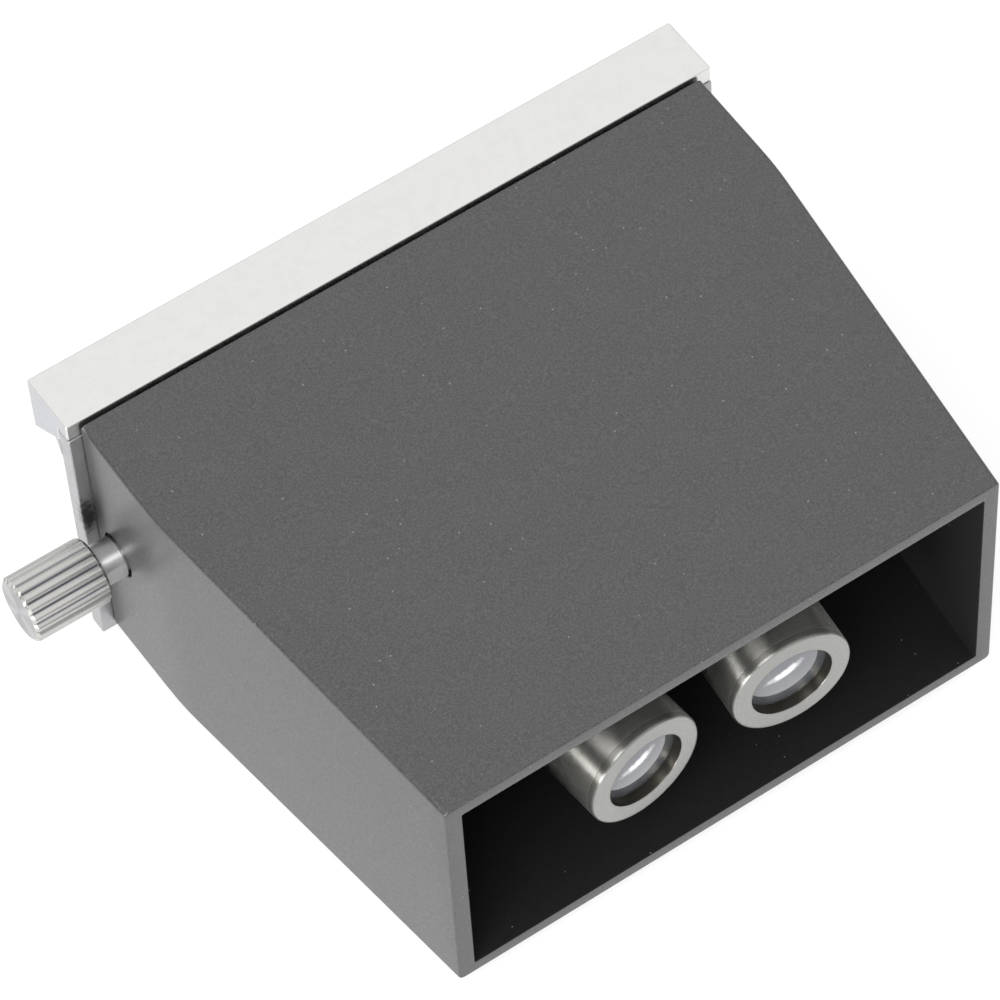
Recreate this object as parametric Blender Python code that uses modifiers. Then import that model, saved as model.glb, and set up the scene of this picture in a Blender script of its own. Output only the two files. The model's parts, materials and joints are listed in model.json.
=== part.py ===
"""Twin-lens collimator head on a dovetail mounting plate.

Blender units are metres, +Z is up and the open front of the hood faces -Y. The origin lies on the seat
face at the back of the mounting plate, midway between the two optical axes. Every size below is in
millimetres. Pieces that touch keep a gap of 0.3 mm.
"""

import math

import bmesh
import bpy
from mathutils import Vector

MM = 0.001
GAP = 0.3

# Mounting plate and dovetail bar, in depth (Y) and height (Z)
BAR_WIDTH = 100.0
BAR_TOP = 24.6
BAR_REAR = 6.0
BAR_FRONT = -3.55
SEAT_PAD_DEPTH = 1.0
PLATE_REAR = -SEAT_PAD_DEPTH
PLATE_FRONT = -3.75
PLATE_BOTTOM = -21.6
SEAM_HEIGHT = 21.75
LIP_BOTTOM = 14.4
UNDERCUT_TOP = 18.4
UNDERCUT_REAR = 0.1
SEAT_PAD_HALF_WIDTH = 40.5
SEAT_PAD_TOP = 12.8
SEAT_PAD_BOTTOM = -19.6

# Hood
HOOD_REAR = PLATE_FRONT - GAP
HOOD_FRONT = -77.0
HOOD_BEND = -20.8
BEND_RADIUS = 60.0
HOOD_REAR_HALF_WIDTH = 48.1
HOOD_FRONT_HALF_WIDTH = 41.9
HOOD_TOP = (23.9, 20.8)
HOOD_BOTTOM = (-20.9, -18.8)
HOOD_WALL = 2.2
HOOD_CORNER_RADIUS = 1.0
HOOD_RIM_RADIUS = 0.25

# Lens tubes: T is measured back from a tube's front face, along its own axis
TOE_IN = math.radians(5.35)
TUBE_FRONT_X = 11.3
TUBE_FRONT_Y = -75.07
TUBE_RADIUS = 8.7
TUBE_LENGTH = 70.2
TUBE_BORE = 7.0
CAP_BORE = 5.85
CAP_RIM = 1.2
CAP_LENGTH = 9.0
CELL_RADIUS = 7.9
LENS_RADIUS = 6.5
REAR_CELL_T = 60.0
LIGHT_HOLE_RADIUS = 6.5

# Objective block that holds both tubes
BLOCK_HALF_WIDTH = 28.5
BLOCK_HALF_HEIGHT = 11.0
BLOCK_FRONT = HOOD_REAR - 12.0

# Clamp: knob and spindle run along X, the plunger along Y
CLAMP_Y = -8.5
CLAMP_Z = 0.67
KNOB_SHOULDER = -51.6
KNOB_LENGTH = 11.5
KNOB_RADIUS = 4.72
KNOB_ROOT = 4.25
KNOB_RIDGES = 18
NECK_RADIUS = 2.95
NECK_END = -45.8
NECK_HOLE_RADIUS = 3.6
SPINDLE_RADIUS = 2.0
SPINDLE_TIP = -39.6
HOUSING_LEFT = -45.4
HOUSING_RIGHT = -29.0
HOUSING_TOP = 9.2
HOUSING_BOTTOM = -7.9
HOUSING_FRONT = -13.4
COVER_THICKNESS = 1.5
WEDGE_HALF_HEIGHT = 3.0
WEDGE_REAR = -5.5
WEDGE_FRONT = -13.1
WEDGE_RAMP_START = -37.0
WEDGE_RIGHT = -31.6
PLUNGER_X = -34.0
PLUNGER_HEAD_RADIUS = 2.6
PLUNGER_HEAD_REAR = -5.2
PLUNGER_STEM_RADIUS = 1.8
PLUNGER_TIP = -0.2
BUSH_RADIUS = 3.8
BUSH_CHAMBER_RADIUS = 2.9
BUSH_FRONT = -4.9
BUSH_REAR = -0.1
BUSH_SHOULDER = -1.5
SPRING_RADIUS = 2.25
SPRING_WIRE_RADIUS = 0.2
SPRING_TURNS = 3.5
SPRING_FRONT = -4.75
SPRING_REAR = -1.95

# Places (X, Z) of each group of fasteners
HOOD_SCREWS = ((-43.6, 13.0), (43.6, 13.0), (-43.6, -16.5), (43.6, -16.5))
BLOCK_SCREWS = ((-25.6, 8.8), (25.6, 8.8), (-25.6, -8.8), (25.6, -8.8))
HOUSING_SCREWS = ((-43.0, 6.67), (-43.0, -5.33))
BAR_SCREWS = ((-43.0, 20.0), (-14.5, 20.0), (14.5, 20.0), (43.0, 20.0))
COVER_SCREWS = ((-43.0, 6.67), (-31.2, -5.33))

TUBE_SIDES = 32
LENS_SIDES = 20
SCREW_SIDES = 12
FACING_REAR = (-math.pi / 2, 0.0, 0.0)
FACING_FRONT = (math.pi / 2, 0.0, 0.0)
FACING_LEFT = (0.0, -math.pi / 2, 0.0)


# ---------------------------------------------------------------- scene, materials and small helpers

def clear_scene():
    for item in list(bpy.data.objects):
        bpy.data.objects.remove(item, do_unlink=True)


def new_collection(name):
    group = bpy.data.collections.new(name)
    bpy.context.scene.collection.children.link(group)
    return group


def principled(name, colour, roughness, metallic, transmission=0.0):
    finish = bpy.data.materials.new(name)
    finish.use_nodes = True
    shader = finish.node_tree.nodes["Principled BSDF"]
    shader.inputs["Base Color"].default_value = (*colour, 1.0)
    shader.inputs["Roughness"].default_value = roughness
    shader.inputs["Metallic"].default_value = metallic
    shader.inputs["Transmission Weight"].default_value = transmission
    finish.diffuse_color = (*colour, 1.0)
    return finish


clear_scene()
PARTS = new_collection("collimator_head")
CUTTERS = new_collection("cutters")
BRIGHT_STEEL = principled("bright_steel", (0.78, 0.78, 0.76), 0.28, 1.0)
SATIN_ALUMINIUM = principled("satin_aluminium", (0.66, 0.67, 0.68), 0.4, 1.0)
BLACK_PAINT = principled("black_paint", (0.022, 0.022, 0.023), 0.6, 0.0)
BLACK_ANODISED = principled("black_anodised", (0.012, 0.012, 0.013), 0.5, 0.3)
TURNED_STEEL = principled("turned_steel", (0.55, 0.55, 0.52), 0.35, 1.0)
NICKEL = principled("nickel", (0.72, 0.71, 0.68), 0.22, 1.0)
SCREW_STEEL = principled("screw_steel", (0.3, 0.3, 0.31), 0.35, 1.0)
SPRING_STEEL = principled("spring_steel", (0.45, 0.45, 0.46), 0.3, 1.0)
BRASS = principled("brass", (0.72, 0.52, 0.22), 0.3, 1.0)
CLEAR_GLASS = principled("clear_glass", (0.86, 0.87, 0.9), 0.02, 0.0, 1.0)


def mm(*values):
    return Vector(values) * MM


def place(item, finish, parent=None):
    """Put a finished piece in the object's collection, with its finish."""
    for group in list(item.users_collection):
        group.objects.unlink(item)
    PARTS.objects.link(item)
    item.data.materials.clear()
    item.data.materials.append(finish)
    item.parent = parent
    return item


def as_cutter(item):
    for group in list(item.users_collection):
        group.objects.unlink(item)
    CUTTERS.objects.link(item)
    item.hide_render = True
    item.display_type = "WIRE"
    return item


def new_object(name, data, location=(0, 0, 0), rotation=(0, 0, 0)):
    item = bpy.data.objects.new(name, data)
    bpy.context.scene.collection.objects.link(item)
    item.location = mm(*location)
    item.rotation_euler = rotation
    return item


def empty(name, location, rotation=(0, 0, 0)):
    holder = bpy.data.objects.new(name, None)
    PARTS.objects.link(holder)
    holder.location = mm(*location)
    holder.rotation_euler = rotation
    return holder


def mesh_from(name, bm):
    data = bpy.data.meshes.new(name)
    bm.to_mesh(data)
    bm.free()
    return data


def box(name, low, high):
    """Cube primitive brought to the size of the box between two corners."""
    low, high = mm(*low), mm(*high)
    bm = bmesh.new()
    bmesh.ops.create_cube(bm, size=1.0)
    bmesh.ops.scale(bm, vec=high - low, verts=bm.verts)
    item = new_object(name, mesh_from(name, bm))
    item.location = (low + high) / 2
    return item


def rod(name, radius, start, end, sides=TUBE_SIDES):
    """Cylinder between two points."""
    start, end = mm(*start), mm(*end)
    bm = bmesh.new()
    bmesh.ops.create_cone(
        bm,
        cap_ends=True,
        segments=sides,
        radius1=radius * MM,
        radius2=radius * MM,
        depth=(end - start).length,
    )
    item = new_object(name, mesh_from(name, bm))
    item.location = (start + end) / 2
    item.rotation_euler = (end - start).to_track_quat("Z", "Y").to_euler()
    return item


def turned(name, profile, sides=TUBE_SIDES, ring=False, location=(0, 0, 0), rotation=(0, 0, 0)):
    """Profile of (radius, height) points, listed down the outer side, turned about local Z."""
    bm = bmesh.new()
    points = [bm.verts.new(mm(radius, 0, height)) for radius, height in profile]
    for first, second in zip(points, points[1:]):
        bm.edges.new((first, second))
    if ring:
        bm.edges.new((points[-1], points[0]))
    item = new_object(name, mesh_from(name, bm), location, rotation)
    lathe = item.modifiers.new("Lathe", "SCREW")
    lathe.axis = "Z"
    lathe.steps = sides
    lathe.render_steps = sides
    lathe.use_merge_vertices = True
    lathe.merge_threshold = 0.00001
    lathe.use_smooth_shade = True
    return item


def flat_outline(name, points, thickness, location=(0, 0, 0), rotation=(0, 0, 0)):
    """Closed 2D outline extruded to both sides of its plane, as a welded mesh."""
    curve = bpy.data.curves.new(name, "CURVE")
    curve.dimensions = "2D"
    curve.fill_mode = "BOTH"
    curve.extrude = thickness / 2 * MM
    spline = curve.splines.new("POLY")
    spline.points.add(len(points) - 1)
    for point, (across, up) in zip(spline.points, points):
        point.co = (across * MM, up * MM, 0.0, 1.0)
    spline.use_cyclic_u = True
    drawn = new_object(name + "_outline", curve, location, rotation)
    return welded_mesh(name, drawn)


def welded_mesh(name, drawn):
    """Mesh object made of an object's evaluated shape, which it replaces."""
    bpy.context.view_layer.update()
    seen = drawn.evaluated_get(bpy.context.evaluated_depsgraph_get())
    data = bpy.data.meshes.new_from_object(seen)
    bm = bmesh.new()
    bm.from_mesh(data)
    bmesh.ops.remove_doubles(bm, verts=bm.verts, dist=0.000001)
    bm.to_mesh(data)
    bm.free()
    item = bpy.data.objects.new(name, data)
    bpy.context.scene.collection.objects.link(item)
    item.matrix_world = drawn.matrix_world.copy()
    bpy.data.objects.remove(drawn, do_unlink=True)
    return item


def boolean(item, other, operation="DIFFERENCE"):
    step = item.modifiers.new(operation.title(), "BOOLEAN")
    step.operation = operation
    step.object = as_cutter(other)


def rounded(item, width, segments=2, angle=50.0):
    step = item.modifiers.new("Rounding", "BEVEL")
    step.width = width * MM
    step.segments = segments
    step.limit_method = "ANGLE"
    step.angle_limit = math.radians(angle)


def smooth(item, angle=35.0):
    item.data.shade_smooth()
    item.data.set_sharp_from_angle(angle=math.radians(angle))


# ---------------------------------------------------------------- fasteners

def socket_screw_mesh(name, head_radius, head_height, shank_radius, length):
    """Socket-head screw along local Z: head's top at 0, shank below it."""
    chamfer = 0.25
    profile = (
        (0.0, 0.0),
        (head_radius - chamfer, 0.0),
        (head_radius, -chamfer),
        (head_radius, -head_height),
        (shank_radius, -head_height),
        (shank_radius, chamfer - length),
        (shank_radius - chamfer, -length),
        (0.0, -length),
    )
    screw = turned(name, profile, SCREW_SIDES)
    socket_depth = 0.6 * head_height
    socket = rod(name + "_socket", 0.5 * head_radius, (0, 0, -socket_depth), (0, 0, 1.0), 6)
    boolean(screw, socket)
    screw = welded_mesh(name, screw)
    data = screw.data
    bpy.data.objects.remove(screw, do_unlink=True)
    bpy.data.objects.remove(socket, do_unlink=True)
    return data


def drive_screws(name, data, places, head_y, rotation=FACING_REAR):
    for number, (x, z) in enumerate(places, 1):
        screw = new_object(f"{name}_{number}", data, (x, head_y, z), rotation)
        place(screw, SCREW_STEEL)


def screw_pocket(name, x, z, mouth, head_seat, end, head_radius, hole_radius, rotation=FACING_REAR):
    """Counterbored hole as a cutter: heights are distances along the screw from the Y = 0 plane."""
    profile = (
        (0.0, mouth),
        (head_radius, mouth),
        (head_radius, head_seat),
        (hole_radius, head_seat),
        (hole_radius, end),
        (0.0, end),
    )
    return turned(name, profile, SCREW_SIDES, location=(x, 0, z), rotation=rotation)


PLATE_SCREW = {"head_radius": 2.25, "head_height": 1.5, "shank_radius": 1.2}
PLATE_POCKET = {"head_radius": 2.6, "hole_radius": 1.5}
PLATE_HEAD_TOP = -1.2
PLATE_HEAD_SEAT = -2.9
SMALL_SCREW = {"head_radius": 1.9, "head_height": 1.8, "shank_radius": 1.0}
SMALL_POCKET = {"head_radius": 2.2, "hole_radius": 1.25}
HOLE_MARGIN = 1.0


def make_screws():
    long_screw = socket_screw_mesh("plate_screw", length=8.6, **PLATE_SCREW)
    drive_screws("hood_screw", long_screw, HOOD_SCREWS, PLATE_HEAD_TOP)
    drive_screws("block_screw", long_screw, BLOCK_SCREWS, PLATE_HEAD_TOP)
    drive_screws("housing_screw", long_screw, HOUSING_SCREWS, PLATE_HEAD_TOP)
    bar_screw = socket_screw_mesh("small_screw", length=9.0, **SMALL_SCREW)
    drive_screws("bar_screw", bar_screw, BAR_SCREWS, BAR_REAR - 0.2)
    cover_screw = socket_screw_mesh(
        "cover_screw", head_radius=1.9, head_height=0.8, shank_radius=1.0, length=4.2
    )
    cover_front = HOUSING_FRONT - GAP - COVER_THICKNESS
    drive_screws("clamp_cover_screw", cover_screw, COVER_SCREWS, cover_front - 0.1, FACING_FRONT)


# ---------------------------------------------------------------- mounting plate and dovetail bar

def make_dovetail_bar():
    """Bar over the top of the plate: its rear lip hangs down, undercut to hook over a dovetail."""
    web_front = PLATE_REAR + GAP
    seam_top = SEAM_HEIGHT + GAP / 2
    section = (
        (BAR_FRONT, BAR_TOP),
        (BAR_FRONT, seam_top),
        (web_front, seam_top),
        (web_front, UNDERCUT_TOP),
        (UNDERCUT_REAR, UNDERCUT_TOP),
        (BAR_REAR, LIP_BOTTOM),
        (BAR_REAR, BAR_TOP),
    )
    along_x = (math.pi / 2, 0.0, math.pi / 2)
    bar = flat_outline("dovetail_bar", section, BAR_WIDTH, rotation=along_x)
    place(bar, BRIGHT_STEEL)
    rounded(bar, 0.25, 2, 30.0)
    for number, (x, z) in enumerate(BAR_SCREWS, 1):
        pocket = screw_pocket(
            f"bar_pocket_{number}", x, z, BAR_REAR + HOLE_MARGIN, BAR_REAR - 2.4, -4.5, **SMALL_POCKET
        )
        boolean(bar, pocket)


def tube_axis_x(y):
    """Distance of a tube's axis from the middle plane at depth y."""
    return TUBE_FRONT_X + (y - TUBE_FRONT_Y) * math.tan(TOE_IN)


def make_mount_plate():
    """Thin plate with a raised seat pad, two light holes and the plunger's hole."""
    half = BAR_WIDTH / 2
    plate = box(
        "mount_plate",
        (-half, PLATE_FRONT, PLATE_BOTTOM),
        (half, PLATE_REAR, SEAM_HEIGHT - GAP / 2),
    )
    place(plate, SATIN_ALUMINIUM)
    rounded(plate, 0.2)
    pad = box(
        "seat_pad",
        (-SEAT_PAD_HALF_WIDTH, PLATE_REAR - 1.0, SEAT_PAD_BOTTOM),
        (SEAT_PAD_HALF_WIDTH, 0.0, SEAT_PAD_TOP),
    )
    boolean(plate, pad, "UNION")
    for side in (-1, 1):
        x = side * tube_axis_x(PLATE_FRONT / 2)
        hole = rod(
            f"light_hole_{side}", LIGHT_HOLE_RADIUS, (x, PLATE_FRONT - 1, 0), (x, HOLE_MARGIN, 0)
        )
        boolean(plate, hole)
    bush_hole = rod(
        "bush_hole",
        BUSH_RADIUS + GAP,
        (PLUNGER_X, PLATE_FRONT - 1, CLAMP_Z),
        (PLUNGER_X, HOLE_MARGIN, CLAMP_Z),
        LENS_SIDES,
    )
    boolean(plate, bush_hole)
    for number, (x, z) in enumerate(HOOD_SCREWS + BLOCK_SCREWS + HOUSING_SCREWS, 1):
        pocket = screw_pocket(
            f"plate_pocket_{number}", x, z, HOLE_MARGIN, PLATE_HEAD_SEAT, -4.6, **PLATE_POCKET
        )
        boolean(plate, pocket)
    for number, (x, z) in enumerate(BAR_SCREWS, 1):
        radius = SMALL_POCKET["hole_radius"]
        hole = rod(f"bar_thread_{number}", radius, (x, PLATE_FRONT - 1, z), (x, 1, z), SCREW_SIDES)
        boolean(plate, hole)


# ---------------------------------------------------------------- hood

def hood_half_width(y):
    """Half width outside: straight walls that meet in a soft vertical bend."""
    slope = (HOOD_REAR_HALF_WIDTH - HOOD_FRONT_HALF_WIDTH) / (HOOD_BEND - HOOD_FRONT)
    tangent = BEND_RADIUS * math.tan(math.atan(slope) / 2)
    ahead = HOOD_BEND + tangent - y
    if ahead <= 0:
        return HOOD_REAR_HALF_WIDTH
    if y <= HOOD_BEND - tangent:
        return HOOD_REAR_HALF_WIDTH - slope * (HOOD_BEND - y)
    return HOOD_REAR_HALF_WIDTH - BEND_RADIUS + math.sqrt(BEND_RADIUS**2 - ahead**2)


def hood_height(y, ends):
    """Height of the roof or the floor outside, on a straight line from back to front."""
    share = (y - HOOD_REAR) / (HOOD_FRONT - HOOD_REAR)
    return ends[0] + share * (ends[1] - ends[0])


def make_hood():
    """Box section with flat open ends, made from a cube that is shaped at stations along its depth."""
    bm = bmesh.new()
    bmesh.ops.create_cube(bm, size=1.0)
    bmesh.ops.scale(bm, vec=mm(1.0, HOOD_REAR - HOOD_FRONT, 1.0), verts=bm.verts)
    bmesh.ops.translate(bm, vec=mm(0, (HOOD_REAR + HOOD_FRONT) / 2, 0), verts=bm.verts)
    ends = [face for face in bm.faces if abs(face.normal.y) > 0.9]
    bmesh.ops.delete(bm, geom=ends, context="FACES")
    for step in (-3.0, -2.0, -1.0, 0.0, 1.0, 2.0, 3.0):
        bmesh.ops.bisect_plane(
            bm,
            geom=bm.verts[:] + bm.edges[:] + bm.faces[:],
            plane_co=mm(0, HOOD_BEND + 1.1 * step, 0),
            plane_no=(0, 1, 0),
        )
    for vert in bm.verts:
        y = vert.co.y / MM
        vert.co.x = math.copysign(hood_half_width(y) * MM, vert.co.x)
        vert.co.z = hood_height(y, HOOD_TOP if vert.co.z > 0 else HOOD_BOTTOM) * MM
    outer = [edge for edge in bm.edges if len(edge.link_faces) == 2 and edge.calc_face_angle() > 1.0]
    corners = [(edge.verts[0].co.copy(), edge.verts[1].co.copy()) for edge in outer]
    bmesh.ops.recalc_face_normals(bm, faces=bm.faces)
    bmesh.ops.solidify(bm, geom=bm.faces[:], thickness=HOOD_WALL * MM)
    for vert in bm.verts:
        for end in (HOOD_FRONT, HOOD_REAR):
            if abs(vert.co.y / MM - end) < HOOD_WALL / 2:
                vert.co.y = end * MM
    long_edges = [edge for edge in bm.edges if is_corner(edge, corners)]
    bmesh.ops.bevel(
        bm,
        geom=long_edges,
        offset=HOOD_CORNER_RADIUS * MM,
        segments=3,
        profile=0.5,
        affect="EDGES",
    )
    hood = new_object("hood", mesh_from("hood", bm))
    place(hood, BLACK_PAINT)
    rounded(hood, HOOD_RIM_RADIUS, 1)
    for number, (x, z) in enumerate(HOOD_SCREWS, 1):
        add_lug(hood, number, x, z)
    neck_hole = rod(
        "neck_hole",
        NECK_HOLE_RADIUS,
        (-HOOD_REAR_HALF_WIDTH - 2, CLAMP_Y, CLAMP_Z),
        (-HOOD_REAR_HALF_WIDTH + HOOD_WALL + 0.4, CLAMP_Y, CLAMP_Z),
    )
    boolean(hood, neck_hole)


def is_corner(edge, corners):
    """True for an edge that lies on one of the four long outer corners."""
    near = 0.01 * MM
    first, second = (vert.co for vert in edge.verts)
    return any(
        ((first - a).length < near and (second - b).length < near)
        or ((first - b).length < near and (second - a).length < near)
        for a, b in corners
    )


def add_lug(hood, number, x, z):
    """Corner lug on a side wall, with the hole that takes a screw through the plate."""
    side = math.copysign(1, x)
    wall = side * (HOOD_REAR_HALF_WIDTH - HOOD_WALL / 2)
    inner = side * 40.6
    half_height = 2.9
    depth = 6.6
    setback = 0.1
    lug = box(
        f"lug_{number}",
        (min(wall, inner), HOOD_REAR - depth, z - half_height),
        (max(wall, inner), HOOD_REAR - setback, z + half_height),
    )
    boolean(hood, lug, "UNION")
    radius = PLATE_POCKET["hole_radius"]
    start = (x, HOOD_REAR - depth - 1, z)
    boolean(hood, rod(f"lug_hole_{number}", radius, start, (x, HOOD_REAR + 1, z), SCREW_SIDES))


# ---------------------------------------------------------------- lens tubes and optics

def bulge(radius, curve):
    """How far a spherical face has fallen off at a radius; negative for a hollow face, 0 for a flat one."""
    if curve == 0:
        return 0.0
    return math.copysign(abs(curve) - math.sqrt(curve * curve - radius * radius), curve)


def lens_profile(rim, front_edge, front_curve, rear_edge, rear_curve, steps=4):
    """Lens from its front vertex round the rim to its rear vertex; curves are radii, hollow if negative."""
    across = [rim * number / steps for number in range(steps + 1)]
    front = [
        (radius, front_edge + bulge(rim, front_curve) - bulge(radius, front_curve)) for radius in across
    ]
    rear = [
        (radius, rear_edge - bulge(rim, rear_curve) + bulge(radius, rear_curve)) for radius in across
    ]
    return front + rear[::-1]


def ring_profile(outer, inner, front, rear, chamfer=0.15):
    """Closed section of a plain ring with its outer front corner broken."""
    return (
        (outer - chamfer, front),
        (outer, front - chamfer),
        (outer, rear),
        (inner, rear),
        (inner, front),
    )


def make_tube(side_name, side):
    """One lens tube with its cap, lenses, rings and stop, all on an axis that toes in."""
    axis = empty(
        f"{side_name}_axis",
        (side * TUBE_FRONT_X, TUBE_FRONT_Y, 0),
        (math.pi / 2, 0.0, -side * TOE_IN),
    )

    def fit(piece, profile, finish, sides=TUBE_SIDES, ring=True):
        item = turned(f"{side_name}_{piece}", profile, sides, ring)
        return place(item, finish, axis)

    barrel = (
        (TUBE_RADIUS, -CAP_RIM - GAP),
        (TUBE_RADIUS, -TUBE_LENGTH),
        (CELL_RADIUS, -TUBE_LENGTH),
        (CELL_RADIUS, -REAR_CELL_T),
        (TUBE_BORE, -REAR_CELL_T),
        (TUBE_BORE, -CAP_LENGTH - 0.6),
        (CELL_RADIUS, -CAP_LENGTH - 0.6),
        (CELL_RADIUS, -CAP_RIM - GAP),
    )
    fit("barrel", barrel, TURNED_STEEL)

    lip = 1.7
    chamfer = 0.25
    spigot = CELL_RADIUS - GAP
    pocket = LENS_RADIUS + GAP
    cap = (
        (TUBE_RADIUS - chamfer, 0.0),
        (TUBE_RADIUS, -chamfer),
        (TUBE_RADIUS, -CAP_RIM),
        (spigot, -CAP_RIM),
        (spigot, -CAP_LENGTH),
        (pocket, -CAP_LENGTH),
        (pocket, -lip),
        (CAP_BORE, -lip),
        (CAP_BORE, -chamfer),
        (CAP_BORE + chamfer, 0.0),
    )
    fit("lens_cap", cap, TURNED_STEEL)

    crown_front = -lip - GAP
    crown_rear = crown_front - 2.0
    flint_front = crown_rear - GAP
    flint_rear = flint_front - 2.0
    crown = lens_profile(LENS_RADIUS, crown_front, 22.0, crown_rear, 22.0)
    fit("front_lens", crown, CLEAR_GLASS, LENS_SIDES, ring=False)
    flint = lens_profile(LENS_RADIUS, flint_front, -22.0, flint_rear, 60.0)
    fit("flint_lens", flint, CLEAR_GLASS, LENS_SIDES, ring=False)
    retainer = ring_profile(LENS_RADIUS, 5.2, flint_rear - 0.8, flint_rear - 2.0)
    fit("lens_retainer", retainer, BLACK_ANODISED, LENS_SIDES)
    stop = ring_profile(TUBE_BORE - GAP, 4.5, -35.0, -36.2)
    fit("aperture_stop", stop, BLACK_ANODISED, LENS_SIDES)

    cell = CELL_RADIUS - GAP
    rear_lens = lens_profile(cell, -REAR_CELL_T - 0.9, 40.0, -REAR_CELL_T - 3.2, 0.0)
    fit("rear_lens", rear_lens, CLEAR_GLASS, LENS_SIDES, ring=False)
    rear_ring = ring_profile(cell, 6.4, -REAR_CELL_T - 3.5, -REAR_CELL_T - 5.5)
    fit("rear_retainer", rear_ring, BLACK_ANODISED, LENS_SIDES)


GRUB_Y = (HOOD_REAR + BLOCK_FRONT) / 2
GRUB_RADIUS = 1.5
GRUB_TIP = 9.0
GRUB_TOP = 10.8


def grub_screw_mesh():
    profile = (
        (0.0, GRUB_TOP - GRUB_TIP),
        (GRUB_RADIUS, GRUB_TOP - GRUB_TIP),
        (GRUB_RADIUS, 0.3),
        (GRUB_RADIUS - 0.3, 0.0),
        (0.0, 0.0),
    )
    screw = turned("grub", profile, SCREW_SIDES)
    socket = rod("grub_socket", 0.75, (0, 0, 0.8), (0, 0, 3.0), 6)
    boolean(screw, socket)
    screw = welded_mesh("grub", screw)
    data = screw.data
    bpy.data.objects.remove(screw, do_unlink=True)
    bpy.data.objects.remove(socket, do_unlink=True)
    return data


def make_objective_block():
    """Block on the plate with two slanted bores, a grub screw over each."""
    block = box(
        "objective_block",
        (-BLOCK_HALF_WIDTH, BLOCK_FRONT, -BLOCK_HALF_HEIGHT),
        (BLOCK_HALF_WIDTH, HOOD_REAR, BLOCK_HALF_HEIGHT),
    )
    place(block, BLACK_ANODISED)
    rounded(block, 0.6)
    grub = grub_screw_mesh()
    for side_name, side in (("left", -1), ("right", 1)):
        ends = [(side * tube_axis_x(y), y, 0) for y in (BLOCK_FRONT - 4, HOOD_REAR + 4)]
        boolean(block, rod(f"{side_name}_tube_bore", TUBE_RADIUS + GAP, *ends))
        x = side * tube_axis_x(GRUB_Y)
        hole = rod(
            f"{side_name}_grub_hole",
            GRUB_RADIUS + GAP,
            (x, GRUB_Y, TUBE_RADIUS - 1),
            (x, GRUB_Y, BLOCK_HALF_HEIGHT + 1),
            SCREW_SIDES,
        )
        boolean(block, hole)
        place(new_object(f"{side_name}_tube_grub", grub, (x, GRUB_Y, GRUB_TIP)), SCREW_STEEL)
    for number, (x, z) in enumerate(BLOCK_SCREWS, 1):
        radius = PLATE_POCKET["hole_radius"]
        start = (x, HOOD_REAR - 7, z)
        hole = rod(f"block_hole_{number}", radius, start, (x, HOOD_REAR + 1, z), SCREW_SIDES)
        boolean(block, hole)


# ---------------------------------------------------------------- clamp

def fluted_outline(points_per_ridge=8):
    """Section of a straight knurl: broad rounded ridges with narrow grooves between them."""
    count = KNOB_RIDGES * points_per_ridge
    outline = []
    for number in range(count):
        angle = math.tau * number / count
        wave = 0.5 + 0.5 * math.cos(KNOB_RIDGES * angle)
        radius = KNOB_ROOT + (KNOB_RADIUS - KNOB_ROOT) * wave**0.6
        outline.append((radius * math.cos(angle), radius * math.sin(angle)))
    return outline


def make_knob(axis):
    """Straight-knurled knob with a smooth neck; its own axis is local Z, end face up."""
    middle_x = KNOB_SHOULDER - KNOB_LENGTH / 2
    knob = flat_outline(
        "clamp_knob", fluted_outline(), KNOB_LENGTH, (middle_x, CLAMP_Y, CLAMP_Z), FACING_LEFT
    )
    chamfer = 0.4
    envelope = (
        (0.0, KNOB_LENGTH - 0.02),
        (KNOB_ROOT, KNOB_LENGTH - 0.02),
        (KNOB_RADIUS + 0.1, KNOB_LENGTH - chamfer - 0.1),
        (KNOB_RADIUS + 0.1, chamfer + 0.1),
        (KNOB_ROOT, 0.02),
        (0.0, 0.02),
    )
    at_shoulder = {"location": (KNOB_SHOULDER, CLAMP_Y, CLAMP_Z), "rotation": FACING_LEFT}
    boolean(knob, turned("knob_envelope", envelope, TUBE_SIDES, **at_shoulder), "INTERSECT")
    neck_length = NECK_END - KNOB_SHOULDER
    neck = (
        (0.0, 2.0),
        (NECK_RADIUS, 2.0),
        (NECK_RADIUS, 0.3 - neck_length),
        (NECK_RADIUS - 0.3, -neck_length),
        (0.0, -neck_length),
    )
    boolean(knob, turned("knob_neck", neck, TUBE_SIDES, **at_shoulder), "UNION")
    bore = rod(
        "spindle_socket",
        SPINDLE_RADIUS + GAP,
        (KNOB_SHOULDER - 6.0, CLAMP_Y, CLAMP_Z),
        (NECK_END + 1, CLAMP_Y, CLAMP_Z),
        LENS_SIDES,
    )
    boolean(knob, bore)
    keep_in_place(knob, axis, NICKEL)


def keep_in_place(item, axis, finish):
    """Parent a piece to its axis without moving it."""
    bpy.context.view_layer.update()
    stands = item.matrix_world.copy()
    place(item, finish, axis)
    item.matrix_parent_inverse = axis.matrix_world.inverted()
    item.matrix_world = stands


def make_spindle(axis):
    """Threaded spindle: plain cylinder at the thread's outer diameter, with a domed tip."""
    top = 5.4
    tip = KNOB_SHOULDER - SPINDLE_TIP
    profile = (
        (0.0, top),
        (SPINDLE_RADIUS, top),
        (SPINDLE_RADIUS, tip + 0.8),
        (0.8 * SPINDLE_RADIUS, tip + 0.3),
        (0.45 * SPINDLE_RADIUS, tip),
        (0.0, tip),
    )
    spindle = turned("clamp_spindle", profile, LENS_SIDES)
    place(spindle, SCREW_STEEL, axis)


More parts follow.
